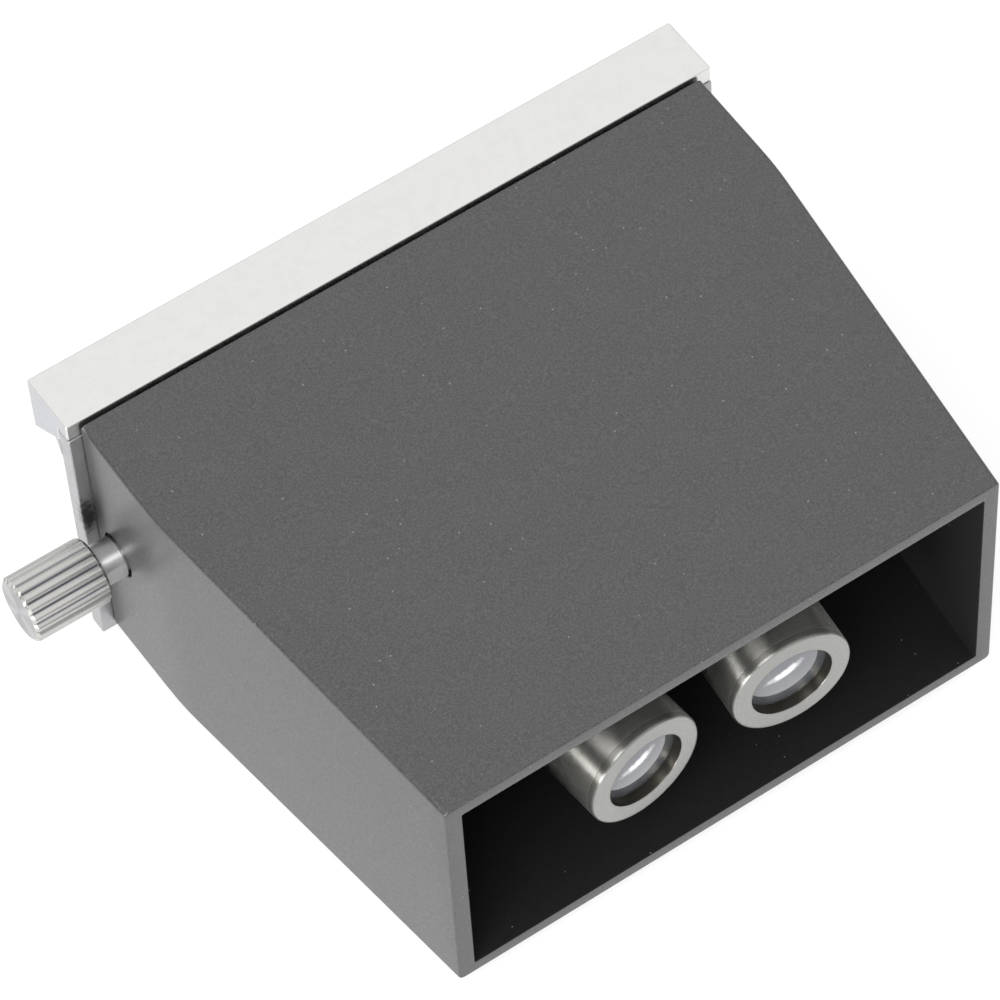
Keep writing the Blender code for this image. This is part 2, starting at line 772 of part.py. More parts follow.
def make_wedge():
    """Sliding wedge: the 45 degree ramp at its rear right corner drives the plunger."""
    ramp_run = WEDGE_RIGHT - WEDGE_RAMP_START
    left = SPINDLE_TIP + GAP
    outline = (
        (left, WEDGE_REAR),
        (left, WEDGE_FRONT),
        (WEDGE_RIGHT, WEDGE_FRONT),
        (WEDGE_RIGHT, WEDGE_REAR - ramp_run),
        (WEDGE_RAMP_START, WEDGE_REAR),
    )
    wedge = flat_outline("lock_wedge", outline, 2 * WEDGE_HALF_HEIGHT, (0, 0, CLAMP_Z))
    place(wedge, SCREW_STEEL)


def make_plunger():
    """Plunger with a slanted head that rests on the wedge's ramp, and a thin stem out through the plate."""
    head_front = WEDGE_FRONT
    profile = (
        (0.0, PLUNGER_TIP),
        (PLUNGER_STEM_RADIUS - 0.3, PLUNGER_TIP),
        (PLUNGER_STEM_RADIUS, PLUNGER_TIP - 0.3),
        (PLUNGER_STEM_RADIUS, PLUNGER_HEAD_REAR),
        (PLUNGER_HEAD_RADIUS, PLUNGER_HEAD_REAR),
        (PLUNGER_HEAD_RADIUS, head_front),
        (0.0, head_front),
    )
    at_hole = {"location": (PLUNGER_X, 0, CLAMP_Z), "rotation": FACING_REAR}
    plunger = turned("lock_plunger", profile, LENS_SIDES, **at_hole)
    ramp_sum = WEDGE_RAMP_START + WEDGE_REAR + GAP * math.sqrt(2)
    far = 30.0
    slant = flat_outline(
        "plunger_slant",
        (
            (PLUNGER_X - far, ramp_sum - PLUNGER_X + far),
            (PLUNGER_X - far, ramp_sum - PLUNGER_X - far),
            (PLUNGER_X + far, ramp_sum - PLUNGER_X - far),
        ),
        20.0,
        (0, 0, CLAMP_Z),
    )
    boolean(plunger, slant)
    place(plunger, SCREW_STEEL)


def make_bush_and_spring():
    """Guide bush in the plate, with the chamber for the plunger's return spring."""
    at_hole = {"location": (PLUNGER_X, 0, CLAMP_Z), "rotation": FACING_REAR}
    guide = PLUNGER_STEM_RADIUS + 0.1
    profile = (
        (BUSH_RADIUS, BUSH_REAR),
        (BUSH_RADIUS, BUSH_FRONT),
        (BUSH_CHAMBER_RADIUS, BUSH_FRONT),
        (BUSH_CHAMBER_RADIUS, BUSH_SHOULDER),
        (guide, BUSH_SHOULDER),
        (guide, BUSH_REAR),
    )
    bush = turned("plunger_bush", profile, LENS_SIDES, ring=True, **at_hole)
    place(bush, BRASS)

    curve = bpy.data.curves.new("plunger_spring", "CURVE")
    curve.dimensions = "3D"
    curve.bevel_depth = SPRING_WIRE_RADIUS * MM
    curve.bevel_resolution = 2
    curve.use_fill_caps = True
    per_turn = 10
    count = int(SPRING_TURNS * per_turn)
    spline = curve.splines.new("POLY")
    spline.points.add(count)
    for number, point in enumerate(spline.points):
        angle = math.tau * number / per_turn
        height = SPRING_FRONT + (SPRING_REAR - SPRING_FRONT) * number / count
        wire = mm(SPRING_RADIUS * math.cos(angle), SPRING_RADIUS * math.sin(angle), height)
        point.co = (*wire, 1.0)
    spring = new_object("plunger_spring", curve, **at_hole)
    place(spring, SPRING_STEEL)


def make_clamp_housing():
    """Housing behind the knob: bore for the spindle, pocket for the wedge, cover over the pocket."""
    housing = box(
        "clamp_housing",
        (HOUSING_LEFT, HOUSING_FRONT, HOUSING_BOTTOM),
        (HOUSING_RIGHT, HOOD_REAR, HOUSING_TOP),
    )
    place(housing, BLACK_ANODISED)
    rounded(housing, 0.3, 1)
    running = 0.1
    pocket_left = SPINDLE_TIP - 0.4
    pocket = box(
        "wedge_pocket",
        (pocket_left, HOUSING_FRONT - 1, CLAMP_Z - WEDGE_HALF_HEIGHT - running),
        (WEDGE_RIGHT + 1.4, WEDGE_REAR + running, CLAMP_Z + WEDGE_HALF_HEIGHT + running),
    )
    boolean(housing, pocket)
    boolean(
        housing,
        rod(
            "spindle_bore",
            SPINDLE_RADIUS + 0.15,
            (HOUSING_LEFT - 1, CLAMP_Y, CLAMP_Z),
            (pocket_left + 0.5, CLAMP_Y, CLAMP_Z),
            LENS_SIDES,
        ),
    )
    boolean(
        housing,
        rod(
            "neck_counterbore",
            NECK_RADIUS + 0.35,
            (HOUSING_LEFT - 1, CLAMP_Y, CLAMP_Z),
            (HOUSING_LEFT + 1.1, CLAMP_Y, CLAMP_Z),
            LENS_SIDES,
        ),
    )
    boolean(
        housing,
        rod(
            "housing_bush_hole",
            BUSH_RADIUS + GAP,
            (PLUNGER_X, WEDGE_REAR - 0.4, CLAMP_Z),
            (PLUNGER_X, HOOD_REAR + 1, CLAMP_Z),
            LENS_SIDES,
        ),
    )
    for number, (x, z) in enumerate(HOUSING_SCREWS, 1):
        radius = PLATE_POCKET["hole_radius"]
        start = (x, HOOD_REAR - 6.0, z)
        boolean(
            housing, rod(f"housing_hole_{number}", radius, start, (x, HOOD_REAR + 1, z), SCREW_SIDES)
        )

    cover_rear = HOUSING_FRONT - GAP
    cover_front = cover_rear - COVER_THICKNESS
    cover = box(
        "clamp_cover",
        (HOUSING_LEFT, cover_front, HOUSING_BOTTOM),
        (HOUSING_RIGHT, cover_rear, HOUSING_TOP),
    )
    place(cover, BLACK_ANODISED)
    rounded(cover, 0.2, 1)
    for number, (x, z) in enumerate(COVER_SCREWS, 1):
        pocket = screw_pocket(
            f"cover_pocket_{number}",
            x,
            z,
            -cover_front + HOLE_MARGIN,
            -cover_front - 1.2,
            -HOUSING_FRONT - 3.2,
            rotation=FACING_FRONT,
            **SMALL_POCKET,
        )
        boolean(cover, pocket)
        start = (x, HOUSING_FRONT + 3.2, z)
        radius = SMALL_POCKET["hole_radius"]
        boolean(
            housing, rod(f"cover_thread_{number}", radius, start, (x, cover_front, z), SCREW_SIDES)
        )


# ---------------------------------------------------------------- the whole object

make_dovetail_bar()
make_mount_plate()
make_hood()
make_objective_block()
make_tube("left", -1)
make_tube("right", 1)
make_clamp_housing()
make_bush_and_spring()
make_wedge()
make_plunger()
KNOB_AXIS = empty("knob_axis", (KNOB_SHOULDER, CLAMP_Y, CLAMP_Z), FACING_LEFT)
make_knob(KNOB_AXIS)
make_spindle(KNOB_AXIS)
make_screws()
for part in PARTS.objects:
    if part.type == "MESH":
        smooth(part)
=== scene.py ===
"""Looks of the twin-lens collimator head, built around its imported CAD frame.

Lengths are millimetres times MM, in the frame's own axes: +Z up, the hood's open front towards -Y.
Each fine piece stands for the CAD node that it is named after, and takes its place from that node.
"""

import json
import math

import bmesh
import bpy
from mathutils import Matrix, Vector


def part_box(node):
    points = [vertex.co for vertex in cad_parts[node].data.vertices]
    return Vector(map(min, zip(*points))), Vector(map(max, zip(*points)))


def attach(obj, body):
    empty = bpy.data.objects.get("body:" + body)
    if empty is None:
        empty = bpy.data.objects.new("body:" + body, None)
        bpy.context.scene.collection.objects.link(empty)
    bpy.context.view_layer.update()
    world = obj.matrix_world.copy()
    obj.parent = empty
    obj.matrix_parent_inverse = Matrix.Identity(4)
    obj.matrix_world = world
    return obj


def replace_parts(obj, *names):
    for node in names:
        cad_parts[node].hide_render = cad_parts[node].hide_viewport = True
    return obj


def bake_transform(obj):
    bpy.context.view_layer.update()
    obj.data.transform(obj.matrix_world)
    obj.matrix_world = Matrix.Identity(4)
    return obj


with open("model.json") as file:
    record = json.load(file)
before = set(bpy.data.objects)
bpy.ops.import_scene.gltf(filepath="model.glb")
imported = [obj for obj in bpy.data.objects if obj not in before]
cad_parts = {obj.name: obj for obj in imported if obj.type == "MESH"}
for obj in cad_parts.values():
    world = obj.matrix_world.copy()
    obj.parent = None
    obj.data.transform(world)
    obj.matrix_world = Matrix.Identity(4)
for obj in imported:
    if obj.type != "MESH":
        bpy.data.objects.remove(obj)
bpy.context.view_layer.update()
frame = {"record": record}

MM = 0.001
SCENE = bpy.context.scene

# Hood, where its CAD box doesn't say: the front's half width and heights, and the bend in the side walls
HOOD_FRONT_HALF_WIDTH = 41.9
HOOD_FRONT_TOP = 20.8
HOOD_FRONT_BOTTOM = -18.8
HOOD_BEND = -20.8
BEND_RADIUS = 60.0
HOOD_WALL = 2.2
HOOD_SIDE_WALL = 2.45
HOOD_CORNER = 0.7
HOOD_INNER_CORNER = 0.3
HOOD_EDGE = 0.28
HOOD_INNER_EDGE = 0.12
HOOD_REAR_EDGE = 0.14
HOOD_SEAT = -0.16
HOOD_CORNER_STEPS = 10
NECK_HOLE = 3.3
LUG_REACH = 40.6
LUG_DEPTH = 6.8
LUG_HALF_HEIGHT = 2.9

# Fits: half the gap that CAD leaves between fixed pieces, and the closer ones here
CAD_HALF_GAP = 0.15
SEAM = 0.05
TIGHT_GAP = 0.05
FIT_GAP = 0.08
RAMP_GAP = 0.15

# Plate and bar
SEAT_PAD = (-40.5, -19.6, 40.5, 12.8)
SEAT_PAD_DEPTH = 1.0
UNDERCUT_RISE = 4.0
TOE_DROP = 2.6
HOOK_EDGE = 0.1
LIGHT_HOLE = 6.5
BUSH_HOLE = 4.1
PLATE_POCKET = (2.6, 1.5)
PLATE_POCKET_SEAT = -2.75
BAR_POCKET = (2.2, 1.25)
BAR_POCKET_DEPTH = 2.1

# Painted shade on the plate's front beside the knob: a dark patch standing for the hood's dark reflection
# there
PLATE_PAINTED_SHADE = (-49.2, -3.75, 5.2)
PLATE_PAINTED_SHADE_SIZE = (1.6, 1.5, 4.4)

# Lens tubes, with depths measured back from a tube's front face along its own axis
TUBE_RADIUS = 8.7
TUBE_LENGTH = 70.2
TUBE_BORE = 7.0
CELL_RADIUS = 7.9
CAP_BORE = 5.85
CAP_RIM = 1.2
CAP_LENGTH = 9.0
CAP_LIP = 1.7
LENS_RADIUS = 6.5
CROWN_THICKNESS = 2.2
FLINT_THICKNESS = 2.0
STOP_DEPTH = 35.0
REAR_CELL = 60.0
TUBE_SIDES = 160
RETAINER_BORE = 5.2
REAR_RETAINER_BORE = 6.4
# Painted highlight on the front lens: a soft white patch where the lens shows a bright streak
LENS_PAINTED_HIGHLIGHT = (-0.4, 1.5, -1.5)
LENS_PAINTED_HIGHLIGHT_SIZE = (3.3, 0.85, 3.0)
LENS_PAINTED_HIGHLIGHT_TURN = 0.36

# How far the tubes lean towards each other, and where the right one's front face is
TOE_IN = math.radians(5.35)
TUBE_FRONT = (11.3, -75.07)

# Clamp
KNOB_LENGTH = 11.5
KNOB_RADIUS = 4.72
KNOB_ROOT = 4.25
KNOB_RIDGES = 18
NECK_RADIUS = 2.95
NECK_LENGTH = 5.8
NECK_RELIEF = 2.4
NECK_FREE = 3.3
SPINDLE_RADIUS = 2.0
SPINDLE_PITCH = 0.7
WEDGE_RUN = 5.4
TAPPED_HOLE = 1.25
COVER_TAPPED_HOLE = 1.05

# Studio
FLOOR_REACH = 40.0
CAMERA_PLACE = (-210.35, -377.05, 575.87)
CAMERA_FORWARD = (0.29490107, 0.49323802, -0.81838231)
CAMERA_ROLL = math.radians(-4.13)
CAMERA_LENS = 194.8

# Local Z turned to face the back, the front and the left
TO_REAR = Matrix.Rotation(-math.pi / 2, 4, "X")
TO_FRONT = Matrix.Rotation(math.pi / 2, 4, "X")
TO_LEFT = Matrix.Rotation(-math.pi / 2, 4, "Y")
ALONG_X = Matrix(((0, 0, 1, 0), (1, 0, 0, 0), (0, 1, 0, 0), (0, 0, 0, 1)))


def mm(*values):
    return Vector(values) * MM


def at(x, y, z, turn=Matrix.Identity(4)):
    """Frame of a piece at a place in millimetres, turned."""
    return Matrix.Translation(mm(x, y, z)) @ turn


def node_box(node):
    """Lowest and highest corner of a CAD node, in millimetres."""
    low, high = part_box(node)
    return low / MM, high / MM


def node_middle(node):
    low, high = node_box(node)
    return (low + high) / 2


# ---- materials

class Finish:
    """A Principled material with a few procedural layers, all in the piece's own coordinates."""

    def __init__(self, name, colour, roughness, metallic):
        self.material = bpy.data.materials.new(name)
        self.material.use_nodes = True
        self.tree = self.material.node_tree
        self.shader = self.tree.nodes["Principled BSDF"]
        self.shader.inputs["Metallic"].default_value = metallic
        self.shader.inputs["Roughness"].default_value = roughness
        self.shader.inputs["Base Color"].default_value = (*colour, 1.0)
        self.place = self.add("ShaderNodeTexCoord").outputs["Object"]
        self.bumps = None

    def add(self, kind, **values):
        node = self.tree.nodes.new(kind)
        for name, value in values.items():
            setattr(node, name, value)
        return node

    def join(self, source, target):
        self.tree.links.new(source, target)

    def set(self, values):
        for name, value in values.items():
            self.shader.inputs[name].default_value = value
        return self

    def stretched(self, stretch):
        mapping = self.add("ShaderNodeMapping")
        mapping.inputs["Scale"].default_value = stretch
        self.join(self.place, mapping.inputs["Vector"])
        return mapping.outputs["Vector"]

    def noise(self, size, detail=3.0, stretch=(1, 1, 1)):
        """Noise whose grains are about size millimetres, longer where stretch is under 1."""
        node = self.add("ShaderNodeTexNoise")
        node.inputs["Scale"].default_value = 1.0 / (size * MM)
        node.inputs["Detail"].default_value = detail
        node.inputs["Roughness"].default_value = 0.55
        self.join(self.stretched(stretch), node.inputs["Vector"])
        return node.outputs["Fac"]

    def rings(self, size, detail=4.0, along="Z"):
        """Turning marks: noise that changes along the piece's axis only, or from its axis outwards."""
        value = self.outward() if along == "R" else self.along()
        node = self.add("ShaderNodeTexNoise", noise_dimensions="1D")
        node.inputs["Scale"].default_value = 1.0 / (size * MM)
        node.inputs["Detail"].default_value = detail
        self.join(value, node.inputs["W"])
        return node.outputs["Fac"]

    def along(self):
        """Height along the piece's own axis, in metres."""
        split = self.add("ShaderNodeSeparateXYZ")
        self.join(self.place, split.inputs[0])
        return split.outputs["Z"]

    def outward(self):
        """Distance from the piece's own axis, in metres."""
        flat = self.add("ShaderNodeVectorMath", operation="MULTIPLY")
        flat.inputs[1].default_value = (1, 1, 0)
        self.join(self.place, flat.inputs[0])
        length = self.add("ShaderNodeVectorMath", operation="LENGTH")
        self.join(flat.outputs["Vector"], length.inputs[0])
        return length.outputs["Value"]

    def product(self, first, second):
        node = self.add("ShaderNodeMath", operation="MULTIPLY")
        self.join(first, node.inputs[0])
        self.join(second, node.inputs[1])
        return node.outputs[0]

    def patch(self, middle, size, turn=0.0, ragged=0.35):
        """1 in the middle of one soft patch, 0 from its ragged edge outwards."""
        local = self.add("ShaderNodeMapping", vector_type="TEXTURE")
        local.inputs["Location"].default_value = mm(*middle)
        local.inputs["Rotation"].default_value = (0.0, 0.0, turn)
        local.inputs["Scale"].default_value = mm(*size)
        self.join(self.place, local.inputs["Vector"])
        length = self.add("ShaderNodeVectorMath", operation="LENGTH")
        self.join(local.outputs["Vector"], length.inputs[0])
        edge = self.add("ShaderNodeMath", operation="ADD")
        self.join(length.outputs["Value"], edge.inputs[0])
        self.join(self.ranged(self.noise(0.9, 4.0), 0.3, 0.7, -ragged, ragged), edge.inputs[1])
        return self.ranged(edge.outputs[0], 1.0, 0.4, 0.0, 1.0)

    def specks(self, spacing, radius, share):
        """1 on small round specks, one in each cell of about spacing millimetres for that share of cells."""
        node = self.add("ShaderNodeTexVoronoi")
        node.inputs["Scale"].default_value = 1.0 / (spacing * MM)
        self.join(self.place, node.inputs["Vector"])
        near = self.ranged(node.outputs["Distance"], radius / spacing, 0.6 * radius / spacing, 0.0, 1.0)
        chosen = self.add("ShaderNodeMath", operation="GREATER_THAN")
        chosen.inputs[1].default_value = 1.0 - share
        split = self.add("ShaderNodeSeparateColor")
        self.join(node.outputs["Color"], split.inputs[0])
        self.join(split.outputs[0], chosen.inputs[0])
        return self.product(near, chosen.outputs[0])

    def ranged(self, value, from_low, from_high, low, high):
        node = self.add("ShaderNodeMapRange")
        for name, number in (
            ("From Min", from_low),
            ("From Max", from_high),
            ("To Min", low),
            ("To Max", high),
        ):
            node.inputs[name].default_value = number
        self.join(value, node.inputs["Value"])
        return node.outputs["Result"]

    def tint(self, value, other, low=0.35, high=0.65):
        """Blend the colour so far towards another as value goes from low to high."""
        mix = self.add("ShaderNodeMix", data_type="RGBA")
        colour = self.shader.inputs["Base Color"]
        if colour.links:
            self.join(colour.links[0].from_socket, mix.inputs["A"])
        else:
            mix.inputs["A"].default_value = colour.default_value
        mix.inputs["B"].default_value = (*other, 1.0)
        self.join(self.ranged(value, low, high, 0.0, 1.0), mix.inputs["Factor"])
        self.join(mix.outputs["Result"], colour)
        return self

    def dull(self, value, low, high):
        """Let the roughness follow a pattern between two values."""
        self.join(self.ranged(value, 0.3, 0.7, low, high), self.shader.inputs["Roughness"])
        return self

    def bump(self, value, depth, strength=1.0):
        """Raise the surface along a pattern, by depth millimetres."""
        node = self.add("ShaderNodeBump")
        node.inputs["Distance"].default_value = depth * MM
        node.inputs["Strength"].default_value = strength
        self.join(value, node.inputs["Height"])
        if self.bumps:
            self.join(self.bumps, node.inputs["Normal"])
        self.bumps = node.outputs["Normal"]
        self.join(self.bumps, self.shader.inputs["Normal"])
        return self


def satin_paint():
    """Sprayed satin black: fine orange peel, faint clouds and a little dust."""
    paint = Finish("satin_black_paint", (0.005, 0.005, 0.0055), 0.34, 0.0)
    paint.set({"IOR": 1.9})
    paint.tint(paint.noise(9.0, 2.0), (0.009, 0.009, 0.0095), 0.4, 0.8)
    paint.tint(paint.noise(0.26, 2.0), (0.058, 0.058, 0.059), 0.38, 0.8)
    paint.tint(paint.specks(1.9, 0.15, 0.5), (0.2, 0.2, 0.2), 0.0, 1.2)
    paint.dull(paint.noise(0.5, 3.0), 0.29, 0.39)
    paint.bump(paint.noise(0.25, 2.0), 0.006, 0.5)
    return paint.material


def matte_black():
    """Inside of the hood: dead black paint with pale dust specks."""
    paint = Finish("matte_black_paint", (0.005, 0.0055, 0.0055), 0.8, 0.0)
    paint.set({"Specular IOR Level": 0.28})
    paint.tint(paint.noise(0.4, 3.0), (0.008, 0.008, 0.008))
    paint.tint(paint.specks(1.7, 0.13, 0.45), (0.22, 0.22, 0.22), 0.0, 1.3)
    paint.bump(paint.noise(0.25, 3.0), 0.02, 0.6)
    return paint.material


def ground_steel():
    """Bar: bright ground face with long faint grinding lines and small dull spots."""
    steel = Finish("ground_steel", (0.785, 0.78, 0.765), 0.28, 1.0)
    steel.tint(steel.noise(1.6, 4.0), (0.755, 0.75, 0.74), 0.45, 0.75)
    steel.tint(steel.noise(0.12, 2.0, (0.02, 1.0, 1.0)), (0.74, 0.74, 0.73), 0.5, 0.9)
    steel.dull(steel.noise(1.3, 4.0), 0.26, 0.31)
    steel.bump(steel.noise(0.12, 2.0, (0.02, 1.0, 1.0)), 0.0002, 0.5)
    return steel.material


def milled_shaded_steel():
    """Ends of the bar: a milled cut, a little duller than the ground faces, with a darker, cooler colour that
    is painted shade.
    """
    # Painted shade: the ends' base colour is far darker and cooler than the ground faces' steel.
    steel = Finish("milled_steel_painted_shade", (0.54, 0.545, 0.57), 0.36, 1.0)
    steel.tint(steel.noise(0.5, 3.0, (1.0, 0.1, 1.0)), (0.505, 0.51, 0.535), 0.45, 0.8)
    steel.dull(steel.noise(0.7, 3.0), 0.32, 0.42)
    steel.bump(steel.noise(0.2, 2.0, (1.0, 0.1, 1.0)), 0.0015, 0.5)
    return steel.material


def satin_aluminium():
    """Plate: milled aluminium, a little stained, with a few pits and a dark patch of painted shade by the
    knob.
    """
    metal = Finish("satin_aluminium", (0.455, 0.455, 0.465), 0.36, 1.0)
    metal.tint(metal.noise(2.6, 5.0), (0.39, 0.39, 0.395), 0.5, 0.85)
    metal.tint(metal.specks(1.7, 0.12, 0.25), (0.30, 0.30, 0.29), 0.0, 1.2)
    # Painted shade: a dark patch beside the knob, standing for the hood's dark reflection in the plate.
    metal.tint(metal.patch(PLATE_PAINTED_SHADE, PLATE_PAINTED_SHADE_SIZE), (0.13, 0.13, 0.13), 0.0, 1.0)
    metal.dull(metal.noise(0.7, 4.0), 0.32, 0.44)
    metal.bump(metal.noise(0.2, 3.0), 0.002, 0.5)
    return metal.material


def turned_steel(name, along, colour, roughness=0.3, grooved=0.7):
    """Lathe-turned steel with rings of fine tool marks, along the axis or out from it."""
    steel = Finish(name, colour, roughness, 1.0)
    steel.set({"Anisotropic": grooved, "Anisotropic Rotation": 0.25})
    steel.tint(steel.rings(0.16, 3.0, along), tuple(0.84 * level for level in colour), 0.42, 0.66)
    steel.tint(steel.noise(1.6, 4.0), tuple(0.88 * level for level in colour), 0.5, 0.9)
    steel.dull(steel.noise(0.8, 2.0), roughness - 0.04, roughness + 0.04)
    steel.bump(steel.rings(0.3, 1.0, along), 0.0004, 0.5)
    return steel.material


def nickel():
    """Knob: nickel plating, drawn along the knob's axis, with painted shade at the foot of the grooves."""
    metal = Finish("nickel_plating", (0.58, 0.575, 0.555), 0.28, 1.0)
    metal.tint(metal.noise(0.6, 2.0, (1.0, 1.0, 0.06)), (0.54, 0.535, 0.525), 0.4, 0.8)
    # Painted shade: the foot of each groove is darkened, short of the end face and the shoulder.
    painted_groove_shade = metal.ranged(metal.outward(), (KNOB_ROOT + 0.24) * MM, (KNOB_ROOT + 0.02) * MM, 0.0, 1.0)
    near_end = metal.ranged(metal.along(), (KNOB_LENGTH - 0.3) * MM, (KNOB_LENGTH - 0.6) * MM, 0.0, 1.0)
    near_shoulder = metal.ranged(metal.along(), 0.3 * MM, 0.6 * MM, 0.0, 1.0)
    metal.tint(metal.product(painted_groove_shade, metal.product(near_end, near_shoulder)), (0.24, 0.235, 0.28), 0.0, 1.0)
    metal.dull(metal.noise(0.8, 2.0), 0.26, 0.31)
    metal.bump(metal.noise(0.5, 0.0, (1.0, 1.0, 0.1)), 0.0001, 0.5)
    return metal.material


def faced_nickel(name, colour, roughness):
    """Faced end or turned neck of the knob: smooth nickel with faint turning rings."""
    metal = Finish(name, colour, roughness, 1.0)
    metal.set({"Anisotropic": 0.85, "Anisotropic Rotation": 0.25})
    metal.tint(metal.rings(0.2, 4.0, "R"), tuple(0.94 * level for level in colour), 0.4, 0.75)
    metal.tint(metal.rings(0.15, 4.0), tuple(0.9 * level for level in colour), 0.45, 0.8)
    metal.dull(metal.noise(0.9, 3.0), roughness - 0.02, roughness + 0.04)
    return metal.material


def black_anodised():
    black = Finish("black_anodised", (0.012, 0.012, 0.013), 0.46, 0.3)
    black.tint(black.noise(0.5, 4.0), (0.020, 0.020, 0.022))
    black.dull(black.noise(0.9, 3.0), 0.4, 0.56)
    black.bump(black.noise(0.15, 3.0), 0.003, 0.5)
    return black.material


def screw_steel():
    steel = Finish("screw_steel", (0.34, 0.34, 0.35), 0.34, 1.0)
    steel.tint(steel.noise(0.7, 4.0), (0.22, 0.22, 0.23), 0.45, 0.8)
    steel.dull(steel.noise(0.5, 3.0), 0.28, 0.44)
    steel.bump(steel.rings(0.1, 3.0), 0.001, 0.4)
    return steel.material


def spring_steel():
    wire = Finish("spring_wire", (0.50, 0.50, 0.51), 0.28, 1.0)
    wire.tint(wire.noise(0.3, 3.0), (0.34, 0.33, 0.33), 0.45, 0.75)
    wire.dull(wire.noise(0.3, 3.0), 0.22, 0.38)
    return wire.material


def brass():
    metal = Finish("turned_brass", (0.78, 0.58, 0.27), 0.28, 1.0)
    marks = metal.rings(0.12, 4.0)
    metal.tint(marks, (0.62, 0.44, 0.18), 0.42, 0.7)
    metal.dull(metal.noise(0.6, 4.0), 0.22, 0.38)
    metal.bump(marks, 0.001, 0.5)
    return metal.material


def coated_glass():
    """Front lens: a pale violet coating, a breath of haze and one soft painted white highlight."""
    glass = Finish("coated_glass", (0.13, 0.135, 0.165), 0.04, 0.0)
    glass.set({"IOR": 2.0, "Coat Weight": 0.6, "Coat Roughness": 0.03})
    # Painted highlight: a soft white patch on the lens, which also lets less light through there.
    painted_highlight = glass.patch(LENS_PAINTED_HIGHLIGHT, LENS_PAINTED_HIGHLIGHT_SIZE, LENS_PAINTED_HIGHLIGHT_TURN, 0.15)
    glass.tint(glass.noise(4.0, 2.0), (0.16, 0.17, 0.18))
    glass.tint(painted_highlight, (0.95, 0.95, 0.97), 0.0, 1.0)
    glass.join(glass.ranged(painted_highlight, 0.0, 1.0, 0.35, 0.05), glass.shader.inputs["Transmission Weight"])
    glass.dull(glass.noise(1.5, 3.0), 0.02, 0.07)
    return glass.material


def clear_glass():
    """Inner lenses: clear, very slightly warm glass."""
    glass = Finish("clear_glass", (0.80, 0.79, 0.76), 0.02, 0.0)
    glass.set({"IOR": 1.62, "Transmission Weight": 0.96})
    glass.tint(glass.noise(5.0, 2.0), (0.74, 0.75, 0.75))
    glass.dull(glass.noise(1.5, 3.0), 0.01, 0.04)
    return glass.material


PAINT = satin_paint()
MATTE = matte_black()
STEEL = ground_steel()
BAR_ENDS = milled_shaded_steel()
ALUMINIUM = satin_aluminium()
TURNED = turned_steel("turned_steel", "Z", (0.33, 0.325, 0.302), 0.36, 1.0)
# Painted shade: the cap's bore wall gets a much darker copy of the turned steel, for the dark it reflects in
# its recess.
SHADED_BORE = turned_steel("bored_steel_painted_shade", "Z", (0.09, 0.085, 0.07), 0.36, 0.6)
FACED = turned_steel("faced_steel", "R", (0.385, 0.385, 0.37))
NICKEL = nickel()
KNOB_FACE = faced_nickel("faced_nickel", (0.435, 0.435, 0.445), 0.34)
KNOB_NECK = faced_nickel("turned_nickel", (0.69, 0.685, 0.68), 0.38)
ANODISED = black_anodised()
SCREW = screw_steel()
SPRING = spring_steel()
BRASS = brass()
COATED_GLASS = coated_glass()
CLEAR_GLASS = clear_glass()


# ---- mesh helpers

def soften(points, radius, steps=4, closed=False):
    """Outline with its corners rounded; radius is one number, or one for each point."""
    corners = [Vector(point) for point in points]
    count = len(corners)
    outline = []
    for number, corner in enumerate(corners):
        size = radius[number] if isinstance(radius, (list, tuple)) else radius
        if size == 0 or (not closed and number in (0, count - 1)):
            outline.append(corner)
            continue
        back = corners[number - 1] - corner
        ahead = corners[(number + 1) % count] - corner
        reach = min(size / math.tan(back.angle(ahead) / 2), 0.45 * back.length, 0.45 * ahead.length)
        start = corner + back.normalized() * reach
        end = corner + ahead.normalized() * reach
        for step in range(steps + 1):
            share = step / steps
            outline.append(
                start * (1 - share) ** 2 + corner * 2 * share * (1 - share) + end * share**2
            )
    return outline


def lathe(profile, sides=64, ring=False, shape=None):
    """Profile of (radius, height) turned about Z; shape(radius, height, angle) may change a radius."""
    bm = bmesh.new()
    rings = []
    for radius, height in profile:
        if radius < 1e-6:
            rings.append([bm.verts.new(mm(0, 0, height))])
            continue
        loop = []
        for number in range(sides):
            angle = math.tau * number / sides
            out = shape(radius, height, angle) if shape else radius
            loop.append(bm.verts.new(mm(out * math.cos(angle), out * math.sin(angle), height)))
        rings.append(loop)
    pairs = list(zip(rings, rings[1:]))
    if ring:
        pairs.append((rings[-1], rings[0]))
    for first, second in pairs:
        for here in range(sides):
            there = (here + 1) % sides
            corners = [
                first[here % len(first)],
                first[there % len(first)],
                second[there % len(second)],
                second[here % len(second)],
            ]
            bm.faces.new(list(dict.fromkeys(corners)))
    bmesh.ops.recalc_face_normals(bm, faces=bm.faces)
    return bm


def moved(bm, matrix):
    bmesh.ops.transform(bm, matrix=matrix, verts=bm.verts)
    return bm


def joined(meshes):
    """Several separate meshes in one."""
    whole = bmesh.new()
    for bm in meshes:
        data = bpy.data.meshes.new("part")
        bm.to_mesh(data)
        bm.free()
        whole.from_mesh(data)
        bpy.data.meshes.remove(data)
    return whole


def round_edges(bm, radius, segments):
    sharp = [edge for edge in bm.edges if edge.calc_face_angle(0.0) > math.radians(20.0)]
    bmesh.ops.bevel(
        bm, geom=sharp, offset=radius * MM, segments=segments, profile=0.5, affect="EDGES"
    )
    return bm


